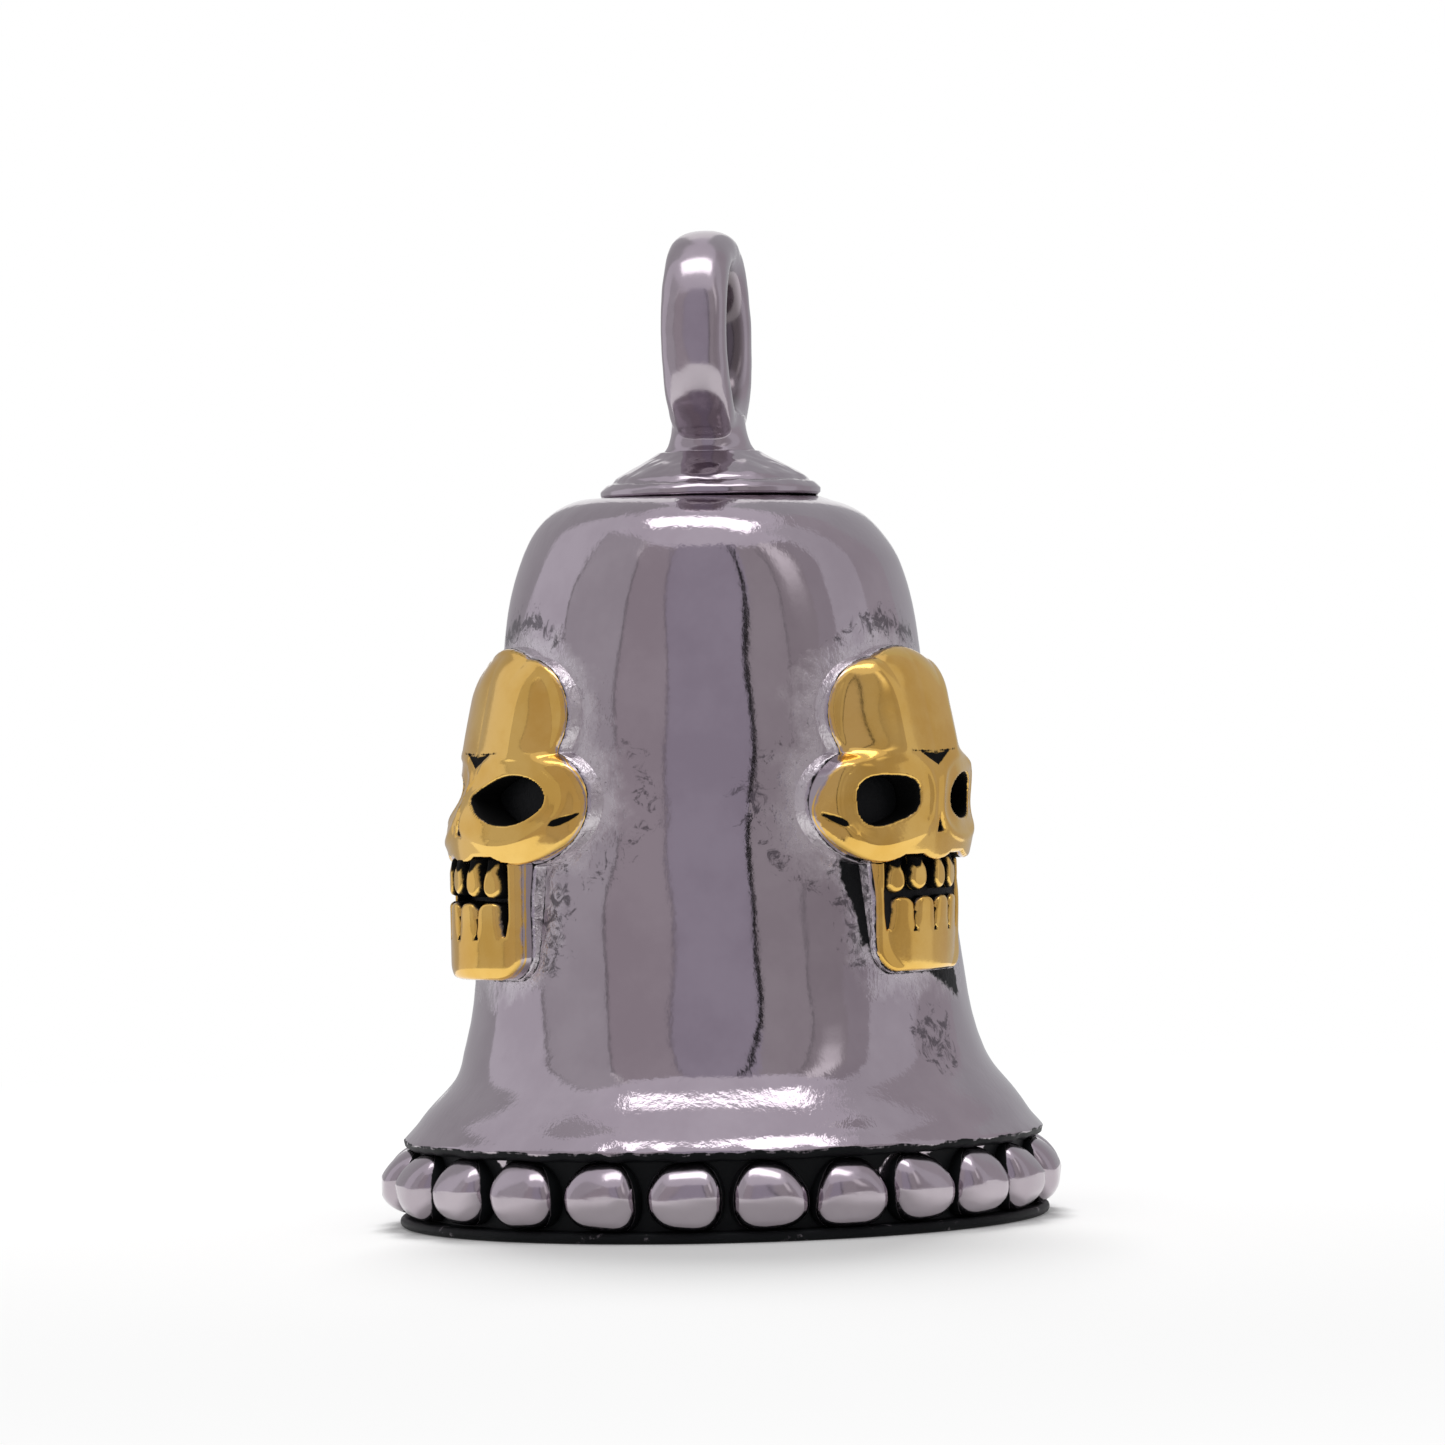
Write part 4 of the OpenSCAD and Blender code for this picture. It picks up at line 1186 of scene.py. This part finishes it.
def makeFloor(s):
    # a pale floor that takes the bell's shadow and fades to white away from it; from below it is clear
    m, tree, out = emptyMaterial("paleFloor")
    white, grey = (1, 1, 1, 1), s["floorGrey"]
    place = objectPlace(tree, (1000, 1000, 1000))
    distance = node(tree, "ShaderNodeVectorMath", {"operation": "LENGTH"}, i0=place).outputs["Value"]
    far = remap(tree, distance, s["fadeFrom"], s["fadeTo"])
    diffuse = node(tree, "ShaderNodeBsdfDiffuse", Color=(grey, grey, grey, 1))
    missing = times(tree, whenSeen(tree), 1 - s["floorLight"])
    lift = node(tree, "ShaderNodeEmission", Color=white, Strength=missing)
    near = node(tree, "ShaderNodeAddShader", i0=diffuse.outputs[0], i1=lift.outputs[0])
    beyond = node(tree, "ShaderNodeEmission", Color=white, Strength=whenSeen(tree))
    mixed = node(tree, "ShaderNodeMixShader", i0=far, i1=near.outputs[0], i2=beyond.outputs[0])
    clear = tree.nodes.new("ShaderNodeBsdfTransparent")
    geometry = tree.nodes.new("ShaderNodeNewGeometry")
    below = geometry.outputs["Backfacing"]
    shown = node(tree, "ShaderNodeMixShader", i0=below, i1=mixed.outputs[0], i2=clear.outputs[0])
    tree.links.new(shown.outputs[0], out.inputs["Surface"])
    points = np.array([(x, y, s["floorLow"]) for x, y in ((-4000, -4000), (4000, -4000), (4000, 4000), (-4000, 4000))])
    addStage("floor", points, [[0, 1, 2, 3]], m)


# cards round the bell that only gloss sees: from and to in degrees from the camera's side, positive to its right, then
# lowest and highest in degrees over the floor, and the light
cards = {
    "middleCard": (-23.6, 21.0, 2, 55, (0.44, 0.41, 0.48)),
    "leftCard": (-54.0, -23.6, 2, 52, (0.47, 0.43, 0.46)),
    "leftFarCard": (-89.0, -54.0, 2, 54, (0.54, 0.52, 0.55)),
    "leftSideCard": (-128.0, -89.0, 2, 62, (0.72, 0.70, 0.75)),
    "leftBackCard": (-170.0, -128.0, 2, 62, (0.47, 0.46, 0.48)),
    "rightCard": (21.0, 41.0, 2, 52, (0.44, 0.41, 0.43)),
    "rightFarCard": (41.0, 59.0, 2, 51, (0.39, 0.36, 0.38)),
    "rightDarkCard": (59.0, 74.0, 2, 54, (0.42, 0.39, 0.42)),
    "rightSideCard": (74.0, 102.0, 2, 62, (0.60, 0.58, 0.62)),
    "rightSlopeCard": (102.0, 132.0, 2, 62, (0.49, 0.46, 0.49)),
    "rightBackCard": (132.0, 170.0, 2, 62, (0.50, 0.50, 0.52)),
    "ceilingCard": (-180.0, 180.0, 47, 90, (0.74, 0.71, 0.77)),
    "rightGleam": (43.5, 61.0, 12, 54, (0.98, 0.95, 0.97)),
    "leftGleam": (-57.0, -53.0, 40, 54, (0.85, 0.82, 0.84)),
    "leftLine": (-24.2, -23.5, 2, 52, (0.20, 0.18, 0.20)),
    "leftFarLine": (-54.6, -53.6, 2, 52, (0.18, 0.17, 0.18)),
    "leftEndLine": (-89.6, -88.2, 2, 53, (0.30, 0.29, 0.30)),
    "rightLine": (40.6, 41.4, 2, 51, (0.20, 0.19, 0.20)),
    "thinCard": (19.3, 21.8, 2, 54, (0.02, 0.02, 0.02)),
}
cardFades = {"rightGleam": (0.39, 0.36, 0.38)}    # the colour that a soft card fades to at its foot and sides
cardLeans = {"thinCard": 0.17}                    # degrees that a card leans over for each degree of height


def makeCard(k, name, left, right, low, high, light, s):
    # a patch of a large ball round the bell, a little smaller for each later card; one that stands on the floor
    # also runs in over it as a skirt
    m, tree, out = emptyMaterial(name)
    soft = name in cardFades
    colour = blendColour(tree, mark(tree, "full"), cardFades[name], light) if soft else (*light, 1.0)
    tree.links.new(node(tree, "ShaderNodeEmission", Color=colour, Strength=1.0).outputs[0], out.inputs["Surface"])
    gap = 1.0 if soft else 4.0
    across, rise = (max(3, int(abs(b - a) / gap) + 2) for a, b in ((left, right), (low, high)))
    turn, e = np.meshgrid(np.linspace(left, right, across), np.linspace(low, high, rise), indexing="ij")
    half = (right - left) / 2
    full = ease(np.abs(turn - (left + right) / 2), half, half * 0.25) * ease(e, low, low + 0.7 * (high - low)) ** 1.2
    turn = turn - cardLeans.get(name, 0.0) * np.maximum(e - 12, 0)
    a, e = np.radians(turn + camera["turn"] - 90), np.radians(e)
    r = s["tentRadius"] + (150 if name == "ceilingCard" else -0.5 * k)
    p = np.stack([r * np.cos(e) * np.cos(a), r * np.cos(e) * np.sin(a), 15 + r * np.sin(e)], -1)
    if low < 3:
        foot = a[:, :1]
        skirt = np.stack([s["skirt"] * np.cos(foot), s["skirt"] * np.sin(foot), 0.5 + 0.02 * k + 0 * foot], -1)
        p = np.concatenate([skirt, p], 1)
    faces = gridFaces(across, p.shape[1], ringColumns=False)
    ob = addStage(name, p.reshape(-1, 3), faces, m, {"full": full} if soft else None)
    ob.visible_camera = ob.visible_diffuse = ob.visible_shadow = ob.visible_transmission = False


# watts, size, place and aim in metres, and whether gloss sees the lamp
lamps = {
    "topLamp": (0.23, (0.33, 0.11), (0.0, -0.043, 0.42), (0, 0, 0.015), True),
    "frontTopLamp": (0.20, (0.34, 0.06), (0.02, -0.20, 0.36), (0, 0, 0.015), False),
    "backLamp": (1.6, (0.20, 0.20), (-0.055, 0.27, 0.38), (0, 0, 0.01), False),
}


def makeLamp(name, power, size, place, aim, inGloss):
    data = bpy.data.lights.new(name, "AREA")
    data.shape = "RECTANGLE"
    data.size, data.size_y = size
    data.energy = power
    ob = addObject(name, data)
    ob.visible_glossy = inGloss
    back = np.array(place) - np.array(aim)
    back /= np.linalg.norm(back)
    right = np.cross([0, 1, 0.001], back)
    right /= np.linalg.norm(right)
    standAt(ob, right, np.cross(back, right), back, place)


makeWorld(stage)
makeFloor(stage)
for k, (name, card) in enumerate(cards.items()):
    makeCard(k, name, *card, stage)
for name, lamp in lamps.items():
    makeLamp(name, *lamp)
bpy.context.scene.view_settings.view_transform = "Standard"
print("stage ready")
